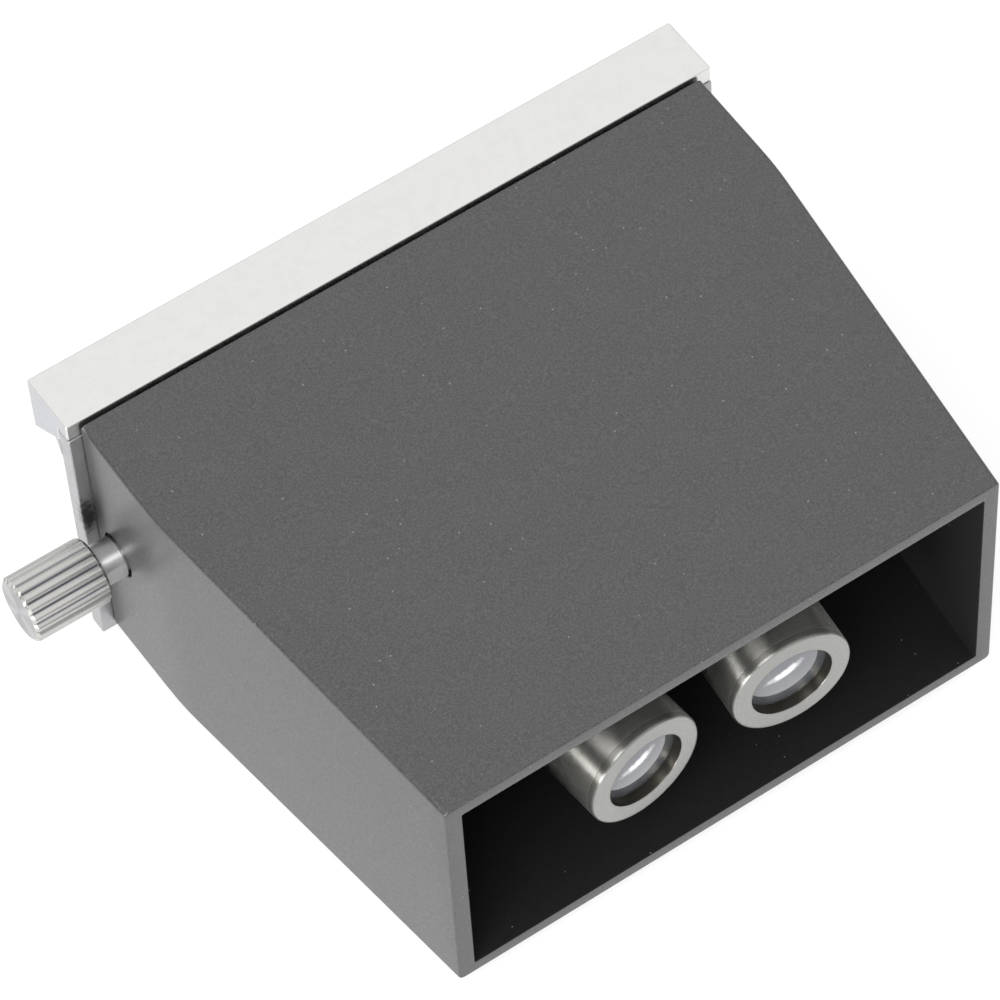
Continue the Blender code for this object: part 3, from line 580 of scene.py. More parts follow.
def prism(outline, start, end, radius=0.0, segments=4):
    """Outline in XY pushed along Z from start to end, with every edge rounded."""
    bm = bmesh.new()
    loops = [[bm.verts.new(mm(x, y, z)) for x, y in outline] for z in (start, end)]
    for first, second in zip(range(len(outline)), list(range(1, len(outline))) + [0]):
        bm.faces.new((loops[0][first], loops[0][second], loops[1][second], loops[1][first]))
    bm.faces.new(loops[0])
    bm.faces.new(loops[1])
    bmesh.ops.recalc_face_normals(bm, faces=bm.faces)
    return round_edges(bm, radius, segments) if radius else bm


def block(low, high, radius=0.0, segments=4):
    """Box between two corners with rounded edges."""
    outline = ((low[0], low[1]), (high[0], low[1]), (high[0], high[1]), (low[0], high[1]))
    return prism(outline, low[2], high[2], radius, segments)


def mesh_object(name, bm, finishes, matrix=Matrix.Identity(4), angle=35.0):
    data = bpy.data.meshes.new(name)
    bm.to_mesh(data)
    bm.free()
    for finish in finishes:
        data.materials.append(finish)
    item = bpy.data.objects.new(name, data)
    SCENE.collection.objects.link(item)
    item.matrix_world = matrix
    data.shade_smooth()
    data.set_sharp_from_angle(angle=math.radians(angle))
    return item


def combine(item, bm, operation="DIFFERENCE"):
    """Cut a mesh out of a piece, or add it to the piece; bm is in the piece's own coordinates."""
    other = mesh_object("tool", bm, [])
    other.matrix_world = item.matrix_world
    step = item.modifiers.new("step", "BOOLEAN")
    step.operation = operation
    step.object = other
    step.solver = "EXACT"
    bpy.context.view_layer.update()
    seen = item.evaluated_get(bpy.context.evaluated_depsgraph_get())
    data = bpy.data.meshes.new_from_object(seen)
    item.modifiers.clear()
    item.data = data
    bpy.data.objects.remove(other, do_unlink=True)
    data.shade_smooth()
    data.set_sharp_from_angle(angle=math.radians(35.0))
    return item


def even_normals(item):
    """Flat faces keep flat shading beside their rounded edges."""
    step = item.modifiers.new("even_normals", "WEIGHTED_NORMAL")
    step.keep_sharp = True
    step.weight = 100
    return item


def hole(radius, start, end, chamfer=0.0, sides=64):
    """Cutter for a round hole along local Z; a chamfer lies 1 mm short of its end."""
    profile = [(0.0, start), (radius, start)]
    if chamfer:
        profile += [(radius, end - 1.0 - chamfer), (radius + chamfer, end - 1.0)]
        profile += [(radius + chamfer + 1.0, end - 1.0), (radius + chamfer + 1.0, end)]
    else:
        profile.append((radius, end))
    profile.append((0.0, end))
    return lathe(profile, sides)


def bore_at(item, node, radius, start, end, face=0.0):
    """Bore a hole along -Y in line with a CAD node, from start to end in front of face."""
    middle = node_middle(node)
    combine(item, moved(hole(radius, start, end), at(middle.x, face, middle.z, TO_FRONT)))


# ---- which body and slot a piece has

BODY_OF = {
    node: body for body, nodes in frame["record"]["behaviour"]["bodies"].items() for node in nodes
}


def hold(item, node):
    """Let a finished piece ride on its body in place of its CAD node."""
    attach(item, BODY_OF[node])
    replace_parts(item, node)
    return item


def finished(node, bm, finishes, matrix=Matrix.Identity(4), angle=35.0):
    """Fine piece in place of one CAD node, as a mesh in its own coordinates."""
    return hold(mesh_object("fine_" + node, bm, finishes, matrix, angle), node)


# ---- hood

HOOD_LOW, HOOD_HIGH = node_box("hood")
PLATE_LOW, PLATE_HIGH = node_box("mount_plate")
BAR_LOW, BAR_HIGH = node_box("dovetail_bar")
HOOD_REAR = PLATE_LOW.y + HOOD_SEAT


def hood_half_width(y):
    """Half width outside: straight walls that meet in a soft vertical bend."""
    slope = (HOOD_HIGH.x - HOOD_FRONT_HALF_WIDTH) / (HOOD_BEND - HOOD_LOW.y)
    tangent = BEND_RADIUS * math.tan(math.atan(slope) / 2)
    ahead = HOOD_BEND + tangent - y
    if ahead <= 0:
        return HOOD_HIGH.x
    if y <= HOOD_BEND - tangent:
        return HOOD_HIGH.x - slope * (HOOD_BEND - y)
    return HOOD_HIGH.x - BEND_RADIUS + math.sqrt(BEND_RADIUS**2 - ahead**2)


def hood_loop(y, inset):
    """Rounded rectangle of the hood's section at depth y, so far inside the outer surface."""
    share = (y - HOOD_HIGH.y) / (HOOD_LOW.y - HOOD_HIGH.y)
    half = hood_half_width(y) - inset * HOOD_SIDE_WALL / HOOD_WALL
    top = HOOD_HIGH.z + share * (HOOD_FRONT_TOP - HOOD_HIGH.z) - inset
    bottom = HOOD_LOW.z + share * (HOOD_FRONT_BOTTOM - HOOD_LOW.z) + inset
    radius = HOOD_CORNER + (HOOD_INNER_CORNER - HOOD_CORNER) * inset / HOOD_WALL
    loop = []
    for quarter, (x, z) in enumerate(((half, top), (-half, top), (-half, bottom), (half, bottom))):
        across, up = (x - math.copysign(radius, x), z - math.copysign(radius, z))
        for step in range(HOOD_CORNER_STEPS + 1):
            angle = math.pi / 2 * (quarter + step / HOOD_CORNER_STEPS)
            loop.append((across + radius * math.cos(angle), up + radius * math.sin(angle)))
    return [(x, y, z) for x, z in loop]


def hood_stations():
    """(depth, inset) from the rear rim forward along the outside, round the front rim and back inside."""
    turn = [math.pi / 2 * step / 6 for step in range(7)]
    # Close stations keep the bend soft
    bend = [HOOD_BEND + 1.6 - 0.4 * step for step in range(17)]
    run = [HOOD_REAR + (bend[0] - HOOD_REAR) * step / 6 for step in range(1, 6)] + bend
    run += [bend[-1] + (HOOD_LOW.y - bend[-1]) * step / 14 for step in range(1, 14)]

    def skin(edge):
        back = HOOD_REAR_EDGE
        rear = [(HOOD_REAR - back * (1 - math.sin(a)), back * (1 - math.cos(a))) for a in turn[::-1]]
        front = [(HOOD_LOW.y + edge * (1 - math.sin(a)), edge * (1 - math.cos(a))) for a in turn]
        return rear + [(y, 0.0) for y in run] + front

    inside = [(y, HOOD_WALL - inset) for y, inset in skin(HOOD_INNER_EDGE)[::-1]]
    return skin(HOOD_EDGE), inside


def make_hood():
    outside, inside = hood_stations()
    bm = bmesh.new()
    loops = [[bm.verts.new(mm(*point)) for point in hood_loop(*place)] for place in outside + inside]
    count = len(loops[0])
    for number, loop in enumerate(loops):
        after = loops[(number + 1) % len(loops)]
        for here in range(count):
            there = (here + 1) % count
            face = bm.faces.new((loop[here], loop[there], after[there], after[here]))
            face.material_index = int(len(outside) <= number < len(loops) - 1)
    bmesh.ops.recalc_face_normals(bm, faces=bm.faces)
    hood = mesh_object("fine_hood", bm, [PAINT, MATTE])
    for number in range(1, 5):
        middle = node_middle(f"hood_screw_{number}")
        side = math.copysign(1, middle.x)
        reach = sorted((side * (HOOD_HIGH.x - HOOD_WALL / 2), side * LUG_REACH))
        lug = block(
            (reach[0], HOOD_REAR - LUG_DEPTH, middle.z - LUG_HALF_HEIGHT),
            (reach[1], PLATE_LOW.y - 0.06, middle.z + LUG_HALF_HEIGHT),
            0.5,
        )
        for face in lug.faces:
            face.material_index = 1
        combine(hood, lug, "UNION")
        bore_at(hood, f"hood_screw_{number}", TAPPED_HOLE, -HOOD_REAR - 1, -HOOD_REAR + 8)
    knob = node_middle("clamp_knob")
    wall = HOOD_HIGH.x
    neck = hole(NECK_HOLE, wall - HOOD_WALL - 1, wall + 1, 0.1, 96)
    combine(hood, moved(neck, at(0, knob.y, knob.z, TO_LEFT)))
    return hold(hood, "hood")


# ---- screws

def threaded(radius, pitch, depth, start, end):
    """Radius along a thread between two heights, for lathe()."""
    def shape(out, height, angle):
        if out < radius - 0.01 or not start < height < end:
            return out
        phase = (height / pitch + angle / math.tau) % 1.0
        return out - depth * (1.0 - abs(2.0 * phase - 1.0))
    return shape


def screw_mesh(name, head_radius, head_height, shank_radius, length):
    """Socket-head screw along local Z, head's top at 0: knurled head, hexagon socket, rolled thread."""
    pitch = 0.45
    head = soften(
        ((0.0, -head_height), (head_radius, -head_height), (head_radius, 0.0), (0.0, 0.0)),
        (0, 0.08, 0.22, 0),
        5,
    )
    steps = int((length - head_height) / pitch * 8)
    shank = [
        (shank_radius, 0.3 - length + (length - 0.3 - head_height - 0.05) * step / steps)
        for step in range(steps + 1)
    ]
    profile = [(0.0, -length), (shank_radius - 0.3, -length), *shank]
    profile += [(shank_radius, -head_height)] + head[1:]
    shape = threaded(shank_radius, pitch, 0.13, 0.2 - length, -head_height - 0.4)
    grip = 0.012 * head_height

    def outer(out, height, angle):
        if height > -head_height and abs(out - head_radius) < 1e-6:
            return out - grip * (1 + math.cos(36 * angle))
        return shape(out, height, angle)

    item = mesh_object(name, lathe(profile, 72, shape=outer), [SCREW])
    across, depth = 0.5 * head_radius, -0.6 * head_height
    combine(item, lathe(((0.0, depth), (across, depth), (across, 0.5), (0.0, 0.5)), 6))
    mouth = lathe(((0.0, -0.15), (0.36 * head_radius, -0.15), (0.62 * head_radius, 0.15), (0.0, 0.15)), 48)
    combine(item, mouth)
    return taken(item)


def taken(item):
    """Mesh of a piece that is only there to be copied."""
    data = item.data
    bpy.data.objects.remove(item, do_unlink=True)
    return data


def drive(data, group, count, turn):
    """A screw at each CAD screw of a group, its head's top where the CAD screw's is."""
    for number in range(1, count + 1):
        node = f"{group}_{number}"
        low, high = node_box(node)
        middle = (low + high) / 2
        top = high.y if turn is TO_REAR else low.y
        item = bpy.data.objects.new("fine_" + node, data)
        SCENE.collection.objects.link(item)
        twist = Matrix.Rotation(0.7 * number, 4, "Z")
        item.matrix_world = at(middle.x, top, middle.z, turn) @ twist
        hold(item, node)


def make_screws():
    """Sizes are head radius, head height, shank radius and whole length."""
    plate_screw = screw_mesh("plate_screw", 2.25, 1.5, 1.2, 8.6)
    drive(plate_screw, "hood_screw", 4, TO_REAR)
    drive(plate_screw, "block_screw", 4, TO_REAR)
    drive(plate_screw, "housing_screw", 2, TO_REAR)
    drive(screw_mesh("bar_screw", 1.9, 1.8, 1.0, 9.0), "bar_screw", 4, TO_REAR)
    drive(screw_mesh("cover_screw", 1.9, 0.8, 1.0, 4.2), "clamp_cover_screw", 2, TO_FRONT)


# ---- plate and bar

def pocket(x, z, face, seat, end, radii, chamfer=0.15):
    """Cutter for a counterbored hole along Y: face, seat and end are depths in y, its mouth to the back."""
    head, shank = radii
    over = 0.5
    profile = [(0.0, face + over), (head + chamfer + over, face + over), (head, face - chamfer)]
    if head > shank:
        profile += [(head, seat), (shank, seat)]
    profile += [(shank, end), (0.0, end)]
    return moved(lathe(profile, 64), at(x, 0, z, TO_REAR))


def make_plate():
    """Plate with the seat pad at its back, holes and screw pockets."""
    rear = -SEAT_PAD_DEPTH
    top = PLATE_HIGH.z + CAD_HALF_GAP - SEAM / 2
    section = ((PLATE_LOW.y, PLATE_LOW.z), (rear, PLATE_LOW.z), (rear, top), (PLATE_LOW.y, top))
    body = prism(section, PLATE_LOW.x, PLATE_HIGH.x, 0.2)
    plate = mesh_object("fine_mount_plate", body, [ALUMINIUM])
    plate.data.transform(ALONG_X)
    pad = block((SEAT_PAD[0], rear - 1.0, SEAT_PAD[1]), (SEAT_PAD[2], PLATE_HIGH.y, SEAT_PAD[3]), 0.15)
    combine(plate, pad, "UNION")
    end = PLATE_LOW.y - 1.0
    cutters = []
    for side in (-1, 1):
        x = side * tube_axis_x(PLATE_LOW.y / 2)
        cutters.append(pocket(x, 0, 0, 0, end, (LIGHT_HOLE, LIGHT_HOLE), 0.3))
    bush = node_middle("plunger_bush")
    cutters.append(pocket(bush.x, bush.z, 0, 0, end, (BUSH_HOLE, BUSH_HOLE)))
    for group, count in (("hood_screw", 4), ("block_screw", 4), ("housing_screw", 2)):
        for number in range(1, count + 1):
            middle = node_middle(f"{group}_{number}")
            face = PLATE_HIGH.y if abs(middle.x) < SEAT_PAD[2] else rear
            cutters.append(pocket(middle.x, middle.z, face, PLATE_POCKET_SEAT, end, PLATE_POCKET))
    for number in range(1, 5):
        middle = node_middle(f"bar_screw_{number}")
        cutters.append(pocket(middle.x, middle.z, rear, 0, end, (1.05, 1.05), 0.1))
    combine(plate, joined(cutters))
    return hold(even_normals(plate), "mount_plate")


def make_bar():
    """Bar whose rear lip hangs down, undercut into a hook."""
    seam = PLATE_HIGH.z + CAD_HALF_GAP + SEAM / 2
    web = -SEAT_PAD_DEPTH + SEAM
    lip = BAR_LOW.z
    undercut = lip + UNDERCUT_RISE
    section = ((BAR_LOW.y, BAR_HIGH.z), (BAR_LOW.y, seam), (web, seam), (web, undercut))
    section += ((HOOK_EDGE, undercut), (BAR_HIGH.y, lip), (BAR_HIGH.y, BAR_HIGH.z))
    body = prism(section, BAR_LOW.x, BAR_HIGH.x, 0.28, 5)
    toe = ((web, undercut + 1.0), (web, undercut - TOE_DROP), (0.05, undercut + 0.05), (0.05, undercut + 1.0))
    toe = prism(toe, BAR_LOW.x + 0.02, BAR_HIGH.x - 0.02)
    for face in list(body.faces) + list(toe.faces):
        face.material_index = int(abs(face.normal.z) > 0.95)
    bar = mesh_object("fine_dovetail_bar", body, [STEEL, BAR_ENDS])
    bar.data.transform(ALONG_X)
    combine(bar, moved(toe, ALONG_X), "UNION")
    cutters = []
    for number in range(1, 5):
        middle = node_middle(f"bar_screw_{number}")
        seat = BAR_HIGH.y - BAR_POCKET_DEPTH
        cutters.append(pocket(middle.x, middle.z, BAR_HIGH.y, seat, -5, BAR_POCKET))
    combine(bar, joined(cutters))
    return hold(even_normals(bar), "dovetail_bar")


# ---- lens tubes

def tube_axis_x(y):
    """Distance of a tube's axis from the middle plane at depth y."""
    return TUBE_FRONT[0] + (y - TUBE_FRONT[1]) * math.tan(TOE_IN)


def bulge(radius, curve):
    """How far a spherical face has fallen off at a radius; negative for a hollow face, 0 for a flat one."""
    if curve == 0:
        return 0.0
    return math.copysign(abs(curve) - math.sqrt(curve * curve - radius * radius), curve)


def lens(rim, front_edge, front_curve, rear_edge, rear_curve):
    """Ground lens with fine chamfers round its rim; heights are negative towards the back."""
    steps = 24
    across = [rim * step / steps for step in range(steps + 1)]
    edge = 0.1
    front = [(r, front_edge + bulge(rim, front_curve) - bulge(r, front_curve)) for r in across[:-1]]
    rear = [(r, rear_edge - bulge(rim, rear_curve) + bulge(r, rear_curve)) for r in across[:-1]]
    rim_line = [(rim - edge, front_edge), (rim, front_edge - edge)]
    rim_line += [(rim, rear_edge + edge), (rim - edge, rear_edge)]
    return lathe(front + rim_line + rear[::-1], 96)


def turned_ring(outer, inner, front, rear):
    """Plain ring with its four edges rounded."""
    corners = ((outer, front), (outer, rear), (inner, rear), (inner, front))
    return lathe(soften(corners, 0.12, 4, True), TUBE_SIDES, ring=True)


def cut_slots(ring, outer, inner, face):
    """Two spanner slots across a face of a ring."""
    width = 0.5
    for side in (-1, 1):
        low, high = sorted((side * (inner - 1), side * (outer + 1)))
        combine(ring, block((low, -width, face - 0.5), (high, width, face + 1)))


def tube_axis(side):
    """A tube's own frame: its front face's middle at the origin, local Z out of the front."""
    turn = Matrix.Rotation(-side * TOE_IN, 4, "Z") @ TO_FRONT
    return at(side * TUBE_FRONT[0], TUBE_FRONT[1], 0, turn)


def make_tube(side_name, side):
    """Barrel, cap, lenses, retainers and stop of one tube."""
    axis = tube_axis(side)

    def fit(piece, bm, finishes):
        return finished(f"{side_name}_{piece}", bm, finishes, axis)

    mouth, shoulder = -CAP_RIM - 0.04, -CAP_LENGTH - 0.6
    barrel = [(TUBE_RADIUS, mouth), (TUBE_RADIUS, -TUBE_LENGTH), (CELL_RADIUS, -TUBE_LENGTH)]
    barrel += [(CELL_RADIUS, -REAR_CELL), (TUBE_BORE, -REAR_CELL), (TUBE_BORE, shoulder)]
    barrel += [(CELL_RADIUS, shoulder), (CELL_RADIUS, mouth)]
    edges = (0.03, 0.3, 0.15, 0, 0.1, 0.1, 0, 0.05)
    bm = lathe(soften(barrel, edges, 4, True), TUBE_SIDES, ring=True)
    for face in bm.faces:
        middle = face.calc_center_median()
        face.material_index = int(math.hypot(middle.x, middle.y) < (CELL_RADIUS - 0.2) * MM)
    fit("barrel", bm, [TURNED, ANODISED])

    spigot = CELL_RADIUS - 0.05
    seat = LENS_RADIUS + FIT_GAP
    cap = [(TUBE_RADIUS, 0.0), (TUBE_RADIUS, -CAP_RIM), (spigot, -CAP_RIM), (spigot, -CAP_LENGTH)]
    cap += [(seat, -CAP_LENGTH), (seat, -CAP_LIP), (CAP_BORE, -CAP_LIP), (CAP_BORE, 0.0)]
    edges = (0.55, 0.03, 0, 0.2, 0.1, 0, 0.05, 0.22)
    bm = lathe(soften(cap, edges, 5, True), TUBE_SIDES, ring=True)
    for face in bm.faces:
        middle = face.calc_center_median()
        radius = math.hypot(middle.x, middle.y) / MM
        inside = radius < LENS_RADIUS + 0.2 and middle.z / MM < -CAP_LIP + 0.1
        # The bore wall takes the turned steel darkened as painted shade.
        bore = radius < CAP_BORE + 0.05 and abs(face.normal.z) < 0.5
        face.material_index = 2 if inside else 3 if bore else int(abs(face.normal.z) > 0.7)
    fit("lens_cap", bm, [TURNED, FACED, ANODISED, SHADED_BORE])

    crown_front = -CAP_LIP - 0.1
    crown_rear = crown_front - CROWN_THICKNESS
    flint_front = crown_rear - 0.3
    flint_rear = flint_front - FLINT_THICKNESS
    crown = lens(LENS_RADIUS, crown_front, 22.0, crown_rear, 22.0)
    fit("front_lens", crown, [COATED_GLASS])
    flint = lens(LENS_RADIUS, flint_front, -22.0, flint_rear, 60.0)
    fit("flint_lens", flint, [CLEAR_GLASS])
    sizes = (LENS_RADIUS, RETAINER_BORE, flint_rear - 0.6)
    ring = turned_ring(*sizes, flint_rear - 2.0)
    cut_slots(fit("lens_retainer", ring, [ANODISED]), *sizes)
    stop = turned_ring(TUBE_BORE - FIT_GAP, 4.5, -STOP_DEPTH, -STOP_DEPTH - 1.2)
    fit("aperture_stop", stop, [ANODISED])

    cell = CELL_RADIUS - FIT_GAP
    rear_lens = lens(cell, -REAR_CELL - 0.9, 40.0, -REAR_CELL - 3.2, 0.0)
    fit("rear_lens", rear_lens, [CLEAR_GLASS])
    ring_rear = -REAR_CELL - 5.5
    ring = turned_ring(cell, REAR_RETAINER_BORE, -REAR_CELL - 3.4, ring_rear)
    ring = fit("rear_retainer", ring, [ANODISED])
    cut_slots(ring, cell, REAR_RETAINER_BORE, ring_rear)


def make_block():
    """Block on the plate with two slanted bores, a grub screw over each."""
    low, high = node_box("objective_block")
    holder = mesh_object(
        "fine_objective_block",
        block(low, (high.x, PLATE_LOW.y - TIGHT_GAP, high.z), 0.6, 5),
        [ANODISED],
    )
    grub_data = None
    bore = TUBE_RADIUS + 0.1
    for side_name, side in (("left", -1), ("right", 1)):
        cutter = lathe(((0.0, -45), (bore, -45), (bore, -80), (0.0, -80)), 128)
        combine(holder, moved(cutter, tube_axis(side)))
        grub_low, grub_high = node_box(f"{side_name}_tube_grub")
        middle = (grub_low + grub_high) / 2
        well = ((0.0, 4), (1.6, 4), (1.6, high.z - 0.2), (2.0, high.z + 0.2), (2.0, 14), (0.0, 14))
        combine(holder, moved(lathe(well, 48), at(middle.x, middle.y, 0)))
        if grub_data is None:
            grub_data = grub_mesh(grub_high.z - grub_low.z)
        item = bpy.data.objects.new(f"fine_{side_name}_tube_grub", grub_data)
        SCENE.collection.objects.link(item)
        item.matrix_world = at(middle.x, middle.y, grub_low.z)
        hold(item, f"{side_name}_tube_grub")
    for number in range(1, 5):
        bore_at(holder, f"block_screw_{number}", TAPPED_HOLE, 0, 7.5, PLATE_LOW.y + 0.5)
    return hold(even_normals(holder), "objective_block")


def grub_mesh(length):
    """Cup-point grub screw, foot at 0, with a hexagon socket in its top."""
    profile = [(0.0, 0.2), (0.7, 0.0), (1.2, 0.0)]
    profile += [(1.5, 0.3 + (length - 0.5) * step / 20) for step in range(21)]
    profile += [(1.3, length), (0.0, length)]
    thread = threaded(1.5, 0.5, 0.14, 0.25, length - 0.15)
    item = mesh_object("grub", lathe(profile, 72, shape=thread), [SCREW])
    socket = lathe(((0.0, 0.8), (0.75, 0.8), (0.75, length + 1), (0.0, length + 1)), 6)
    combine(item, socket)
    return taken(item)


# ---- clamp

def make_knob():
    """Straight-knurled knob with a smooth neck; its own axis is local Z, end face up."""
    low, high = node_box("clamp_knob")
    middle = (low + high) / 2
    shoulder = low.x + KNOB_LENGTH
    axis = at(shoulder, middle.y, middle.z, TO_LEFT)
    chamfer = 0.45
    bore = SPINDLE_RADIUS + 0.12
    relief_end = -NECK_FREE - 1.2
    foot, crest = KNOB_ROOT - 0.1, KNOB_RADIUS + 0.1
    outline = [(bore, 6.0), (bore, -NECK_LENGTH), (NECK_RADIUS, -NECK_LENGTH)]
    outline += [(NECK_RADIUS, relief_end), (NECK_RELIEF, relief_end)]
    outline += [(NECK_RELIEF, -NECK_FREE), (NECK_RADIUS, -NECK_FREE), (NECK_RADIUS, 0.0)]
    outline += [(foot, 0.0), (crest, chamfer), (crest, KNOB_LENGTH - chamfer)]
    outline += [(foot, KNOB_LENGTH), (0.0, KNOB_LENGTH)]
    edges = (0, 0.15, 0.25, 0, 0, 0, 0.06, 0.12, 0.1, 0.12, 0.12, 0.1, 0)

    def fluted(out, height, angle):
        if out < KNOB_ROOT - 0.5:
            return out
        wave = 0.5 + 0.5 * math.cos(KNOB_RIDGES * angle)
        return min(out, KNOB_ROOT + (KNOB_RADIUS - KNOB_ROOT) * wave**0.45)

    profile = [(0.0, 6.0)] + soften(outline, edges, 4)
    bm = lathe(profile, KNOB_RIDGES * 24, shape=fluted)
    for face in bm.faces:
        middle = face.calc_center_median() / MM
        outward = math.hypot(middle.x, middle.y)
        face.material_index = 2 if middle.z < 0.02 else int(outward < KNOB_ROOT - 0.2)
    return finished("clamp_knob", bm, [NICKEL, KNOB_FACE, KNOB_NECK], axis, 50.0)


def make_spindle():
    low, high = node_box("clamp_spindle")
    middle = (low + high) / 2
    length = high.x - low.x
    steps = int(length / SPINDLE_PITCH * 10)
    profile = [(0.0, 0.0), (0.5, 0.03), (0.95, 0.14), (1.4, 0.36)]
    profile += [(SPINDLE_RADIUS, 0.8 + (length - 1.0) * step / steps) for step in range(steps + 1)]
    profile += [(SPINDLE_RADIUS - 0.2, length), (0.0, length)]
    shape = threaded(SPINDLE_RADIUS, SPINDLE_PITCH, 0.26, 1.0, length - 0.4)
    axis = at(high.x, middle.y, middle.z, TO_LEFT)
    return finished("clamp_spindle", lathe(profile, 96, shape=shape), [SCREW], axis)


def make_wedge():
    low, high = node_box("lock_wedge")
    outline = ((low.x, high.y), (low.x, low.y), (high.x, low.y))
    outline += ((high.x, high.y - WEDGE_RUN), (high.x - WEDGE_RUN, high.y))
    return finished("lock_wedge", prism(outline, low.z, high.z, 0.2), [SCREW])


def make_plunger():
    low, high = node_box("lock_plunger")
    middle = (low + high) / 2
    head, stem = 2.6, 1.8
    section = soften(
        ((0.0, high.y), (stem, high.y), (stem, -5.2), (head, -5.2), (head, low.y - 2.0), (0.0, low.y - 2.0)),
        (0, 0.35, 0.1, 0.25, 0, 0),
        5,
    )
    plunger = mesh_object("fine_lock_plunger", lathe(section, 96), [SCREW])
    plunger.data.transform(at(middle.x, 0, middle.z, TO_REAR))
    wedge = node_box("lock_wedge")[1]
    ramp = wedge.x - WEDGE_RUN + wedge.y + RAMP_GAP * math.sqrt(2)
    far = 30.0
    corner = ramp - middle.x
    slant = prism(
        ((middle.x - far, corner + far), (middle.x - far, corner - far), (middle.x + far, corner - far)),
        middle.z - 10,
        middle.z + 10,
    )
    combine(plunger, slant)
    return hold(plunger, "lock_plunger")


def make_bush():
    low, high = node_box("plunger_bush")
    middle = (low + high) / 2
    section = soften(
        ((3.8, high.y), (3.8, low.y), (2.9, low.y), (2.9, -1.5), (1.9, -1.5), (1.9, high.y)),
        (0.3, 0.2, 0.1, 0.1, 0.1, 0.25),
        4,
        True,
    )
    bm = lathe(section, 128, ring=True)
    finished("plunger_bush", bm, [BRASS], at(middle.x, 0, middle.z, TO_REAR))


def make_spring():
    """Return spring between the plunger and the bush's shoulder, on which its rear end rests."""
    low, high = node_box("plunger_spring")
    middle = (low + high) / 2
    wire, radius, turns, around = 0.2, 2.25, 3.5, 12
    front, rear = low.y + wire, high.y - wire
    per_turn = 32
    count = int(turns * per_turn)
    bm = bmesh.new()
    rings = []
    for step in range(count + 1):
        angle = math.tau * step / per_turn
        along = front + (rear - front) * step / count
        outward = Vector((math.cos(angle), 0, math.sin(angle)))
        loop = []
        for number in range(around):
            turn = math.tau * number / around
            spot = outward * (radius + wire * math.cos(turn)) + Vector((0, along + wire * math.sin(turn), 0))
            loop.append(bm.verts.new((spot + Vector((middle.x, 0, middle.z))) * MM))
        rings.append(loop)
    for first, second in zip(rings, rings[1:]):
        for here in range(around):
            there = (here + 1) % around
            bm.faces.new((first[here], first[there], second[there], second[here]))
    bm.faces.new(rings[0])
    bm.faces.new(rings[-1])
    bmesh.ops.recalc_face_normals(bm, faces=bm.faces)
    spring = mesh_object("fine_plunger_spring", bm, [SPRING])
    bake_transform(spring)
    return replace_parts(spring, "plunger_spring")


def make_housing():
    """Housing with the wedge's channel, and its front cover."""
    low, high = node_box("clamp_housing")
    knob = node_middle("clamp_knob")
    wedge_low, wedge_high = node_box("lock_wedge")
    housing = mesh_object(
        "fine_clamp_housing",
        block(low, (high.x, PLATE_LOW.y - TIGHT_GAP, high.z), 0.35),
        [ANODISED],
    )
    channel = block(
        (wedge_low.x - 0.7, low.y - 1, wedge_low.z - 0.1),
        (wedge_high.x + 1.4, wedge_high.y + 0.1, wedge_high.z + 0.1),
    )
    combine(housing, channel)
    mouth = -low.x
    bore = [(0.0, 38), (2.15, 38), (2.15, mouth - 1.1), (3.3, mouth - 1.1), (3.3, mouth - 0.2)]
    bore += [(3.9, mouth + 0.4), (0.0, mouth + 0.4)]
    combine(housing, moved(lathe(bore, 96), at(0, knob.y, knob.z, TO_LEFT)))
    bore_at(housing, "plunger_bush", BUSH_HOLE, 3, 6.1)
    for number in (1, 2):
        bore_at(housing, f"housing_screw_{number}", TAPPED_HOLE, 3, 10.1)
        cover_screw = f"clamp_cover_screw_{number}"
        bore_at(housing, cover_screw, COVER_TAPPED_HOLE, -low.y - 3.2, -low.y + 1)
    hold(even_normals(housing), "clamp_housing")

    cover_low, cover_high = node_box("clamp_cover")
    cover = mesh_object(
        "fine_clamp_cover",
        block(cover_low, (cover_high.x, low.y - TIGHT_GAP, cover_high.z), 0.3),
        [ANODISED],
    )
    for number in (1, 2):
        middle = node_middle(f"clamp_cover_screw_{number}")
        face = -cover_low.y
        seat, end = face - 0.9, face - 4
        well = ((0.0, face + 1), (2.2, face + 1), (2.2, seat), (1.25, seat), (1.25, end), (0.0, end))
        combine(cover, moved(lathe(well, 48), at(middle.x, 0, middle.z, TO_FRONT)))
    hold(even_normals(cover), "clamp_cover")


make_plate()
make_bar()
make_hood()
make_screws()
make_tube("left", -1)
make_tube("right", 1)
make_block()
make_knob()
make_spindle()
make_wedge()
make_plunger()
make_bush()
make_spring()
make_housing()


# ---- studio

def soft_light(name, place, target, width, height, power):
    data = bpy.data.lights.new(name, "AREA")
    data.shape = "RECTANGLE"
    data.size = width * MM
    data.size_y = height * MM
    data.energy = power
    item = bpy.data.objects.new(name, data)
    SCENE.collection.objects.link(item)
    item.location = mm(*place)
    way = mm(*target) - item.location
    item.rotation_euler = way.to_track_quat("-Z", "Y").to_euler()


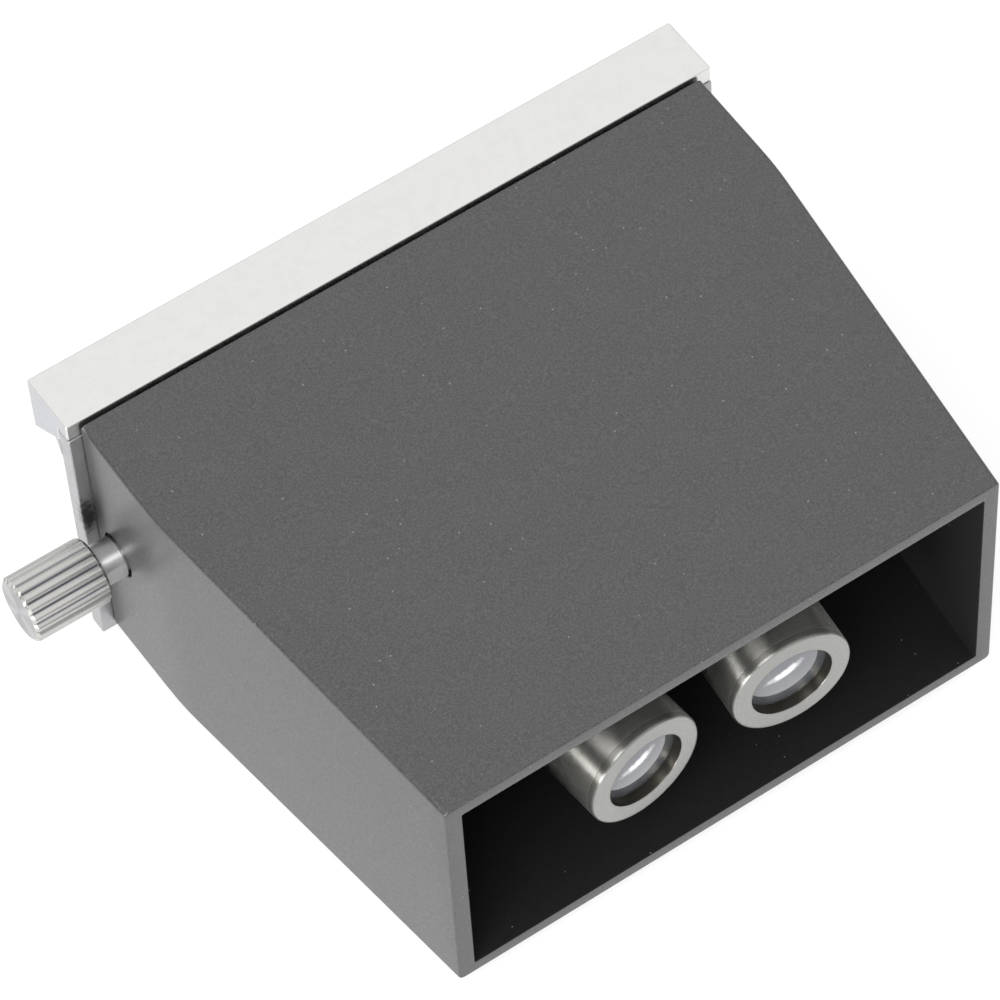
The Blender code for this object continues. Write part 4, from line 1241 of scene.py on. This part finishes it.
def make_floor():
    paper = Finish("floor_paper", (0.35, 0.35, 0.35), 0.9, 0.0)
    paper.tint(paper.noise(60.0, 2.0), (0.34, 0.34, 0.34))
    paper.set({"Emission Color": (1.0, 1.0, 1.0, 1.0), "Emission Strength": 0.72})
    bm = bmesh.new()
    bmesh.ops.create_grid(bm, x_segments=4, y_segments=4, size=FLOOR_REACH)
    floor = mesh_object("floor", bm, [paper.material], at(0, 0, PLATE_LOW.z - 0.02))


def make_world():
    """Pale room: bright overhead and below, dimmer round the horizon."""
    world = bpy.data.worlds.new("studio")
    SCENE.world = world
    world.use_nodes = True
    tree = world.node_tree
    background = tree.nodes["Background"]
    where = tree.nodes.new("ShaderNodeTexCoord")
    split = tree.nodes.new("ShaderNodeSeparateXYZ")
    ramp = tree.nodes.new("ShaderNodeValToRGB")
    tree.links.new(where.outputs["Generated"], split.inputs[0])
    tree.links.new(split.outputs["Z"], ramp.inputs["Fac"])
    tree.links.new(ramp.outputs["Color"], background.inputs["Color"])
    stops = ((0.0, 0.35), (0.12, 0.38), (0.45, 0.85), (0.75, 1.05), (1.0, 1.05))
    line = ramp.color_ramp
    line.elements[0].position, line.elements[0].color = stops[0][0], (stops[0][1],) * 3 + (1.0,)
    line.elements[1].position, line.elements[1].color = stops[-1][0], (stops[-1][1],) * 3 + (1.0,)
    for position, level in stops[1:-1]:
        line.elements.new(position).color = (level, level, level, 1.0)


def make_camera():
    data = bpy.data.cameras.new("camera")
    data.sensor_width = 36.0
    data.lens = CAMERA_LENS
    data.clip_start = 0.01
    data.clip_end = 50.0
    camera = bpy.data.objects.new("camera", data)
    SCENE.collection.objects.link(camera)
    facing = Vector(CAMERA_FORWARD).to_track_quat("-Z", "Y").to_matrix().to_4x4()
    camera.matrix_world = at(*CAMERA_PLACE) @ facing @ Matrix.Rotation(CAMERA_ROLL, 4, "Z")
    SCENE.camera = camera


make_floor()
make_world()
soft_light("key", (-500, -450, 700), (0, -30, 0), width=420, height=420, power=4.0)
soft_light("side", (-800, -430, 40), (0, -60, 0), width=460, height=260, power=5.2)
make_camera()
SCENE.view_settings.view_transform = "Standard"
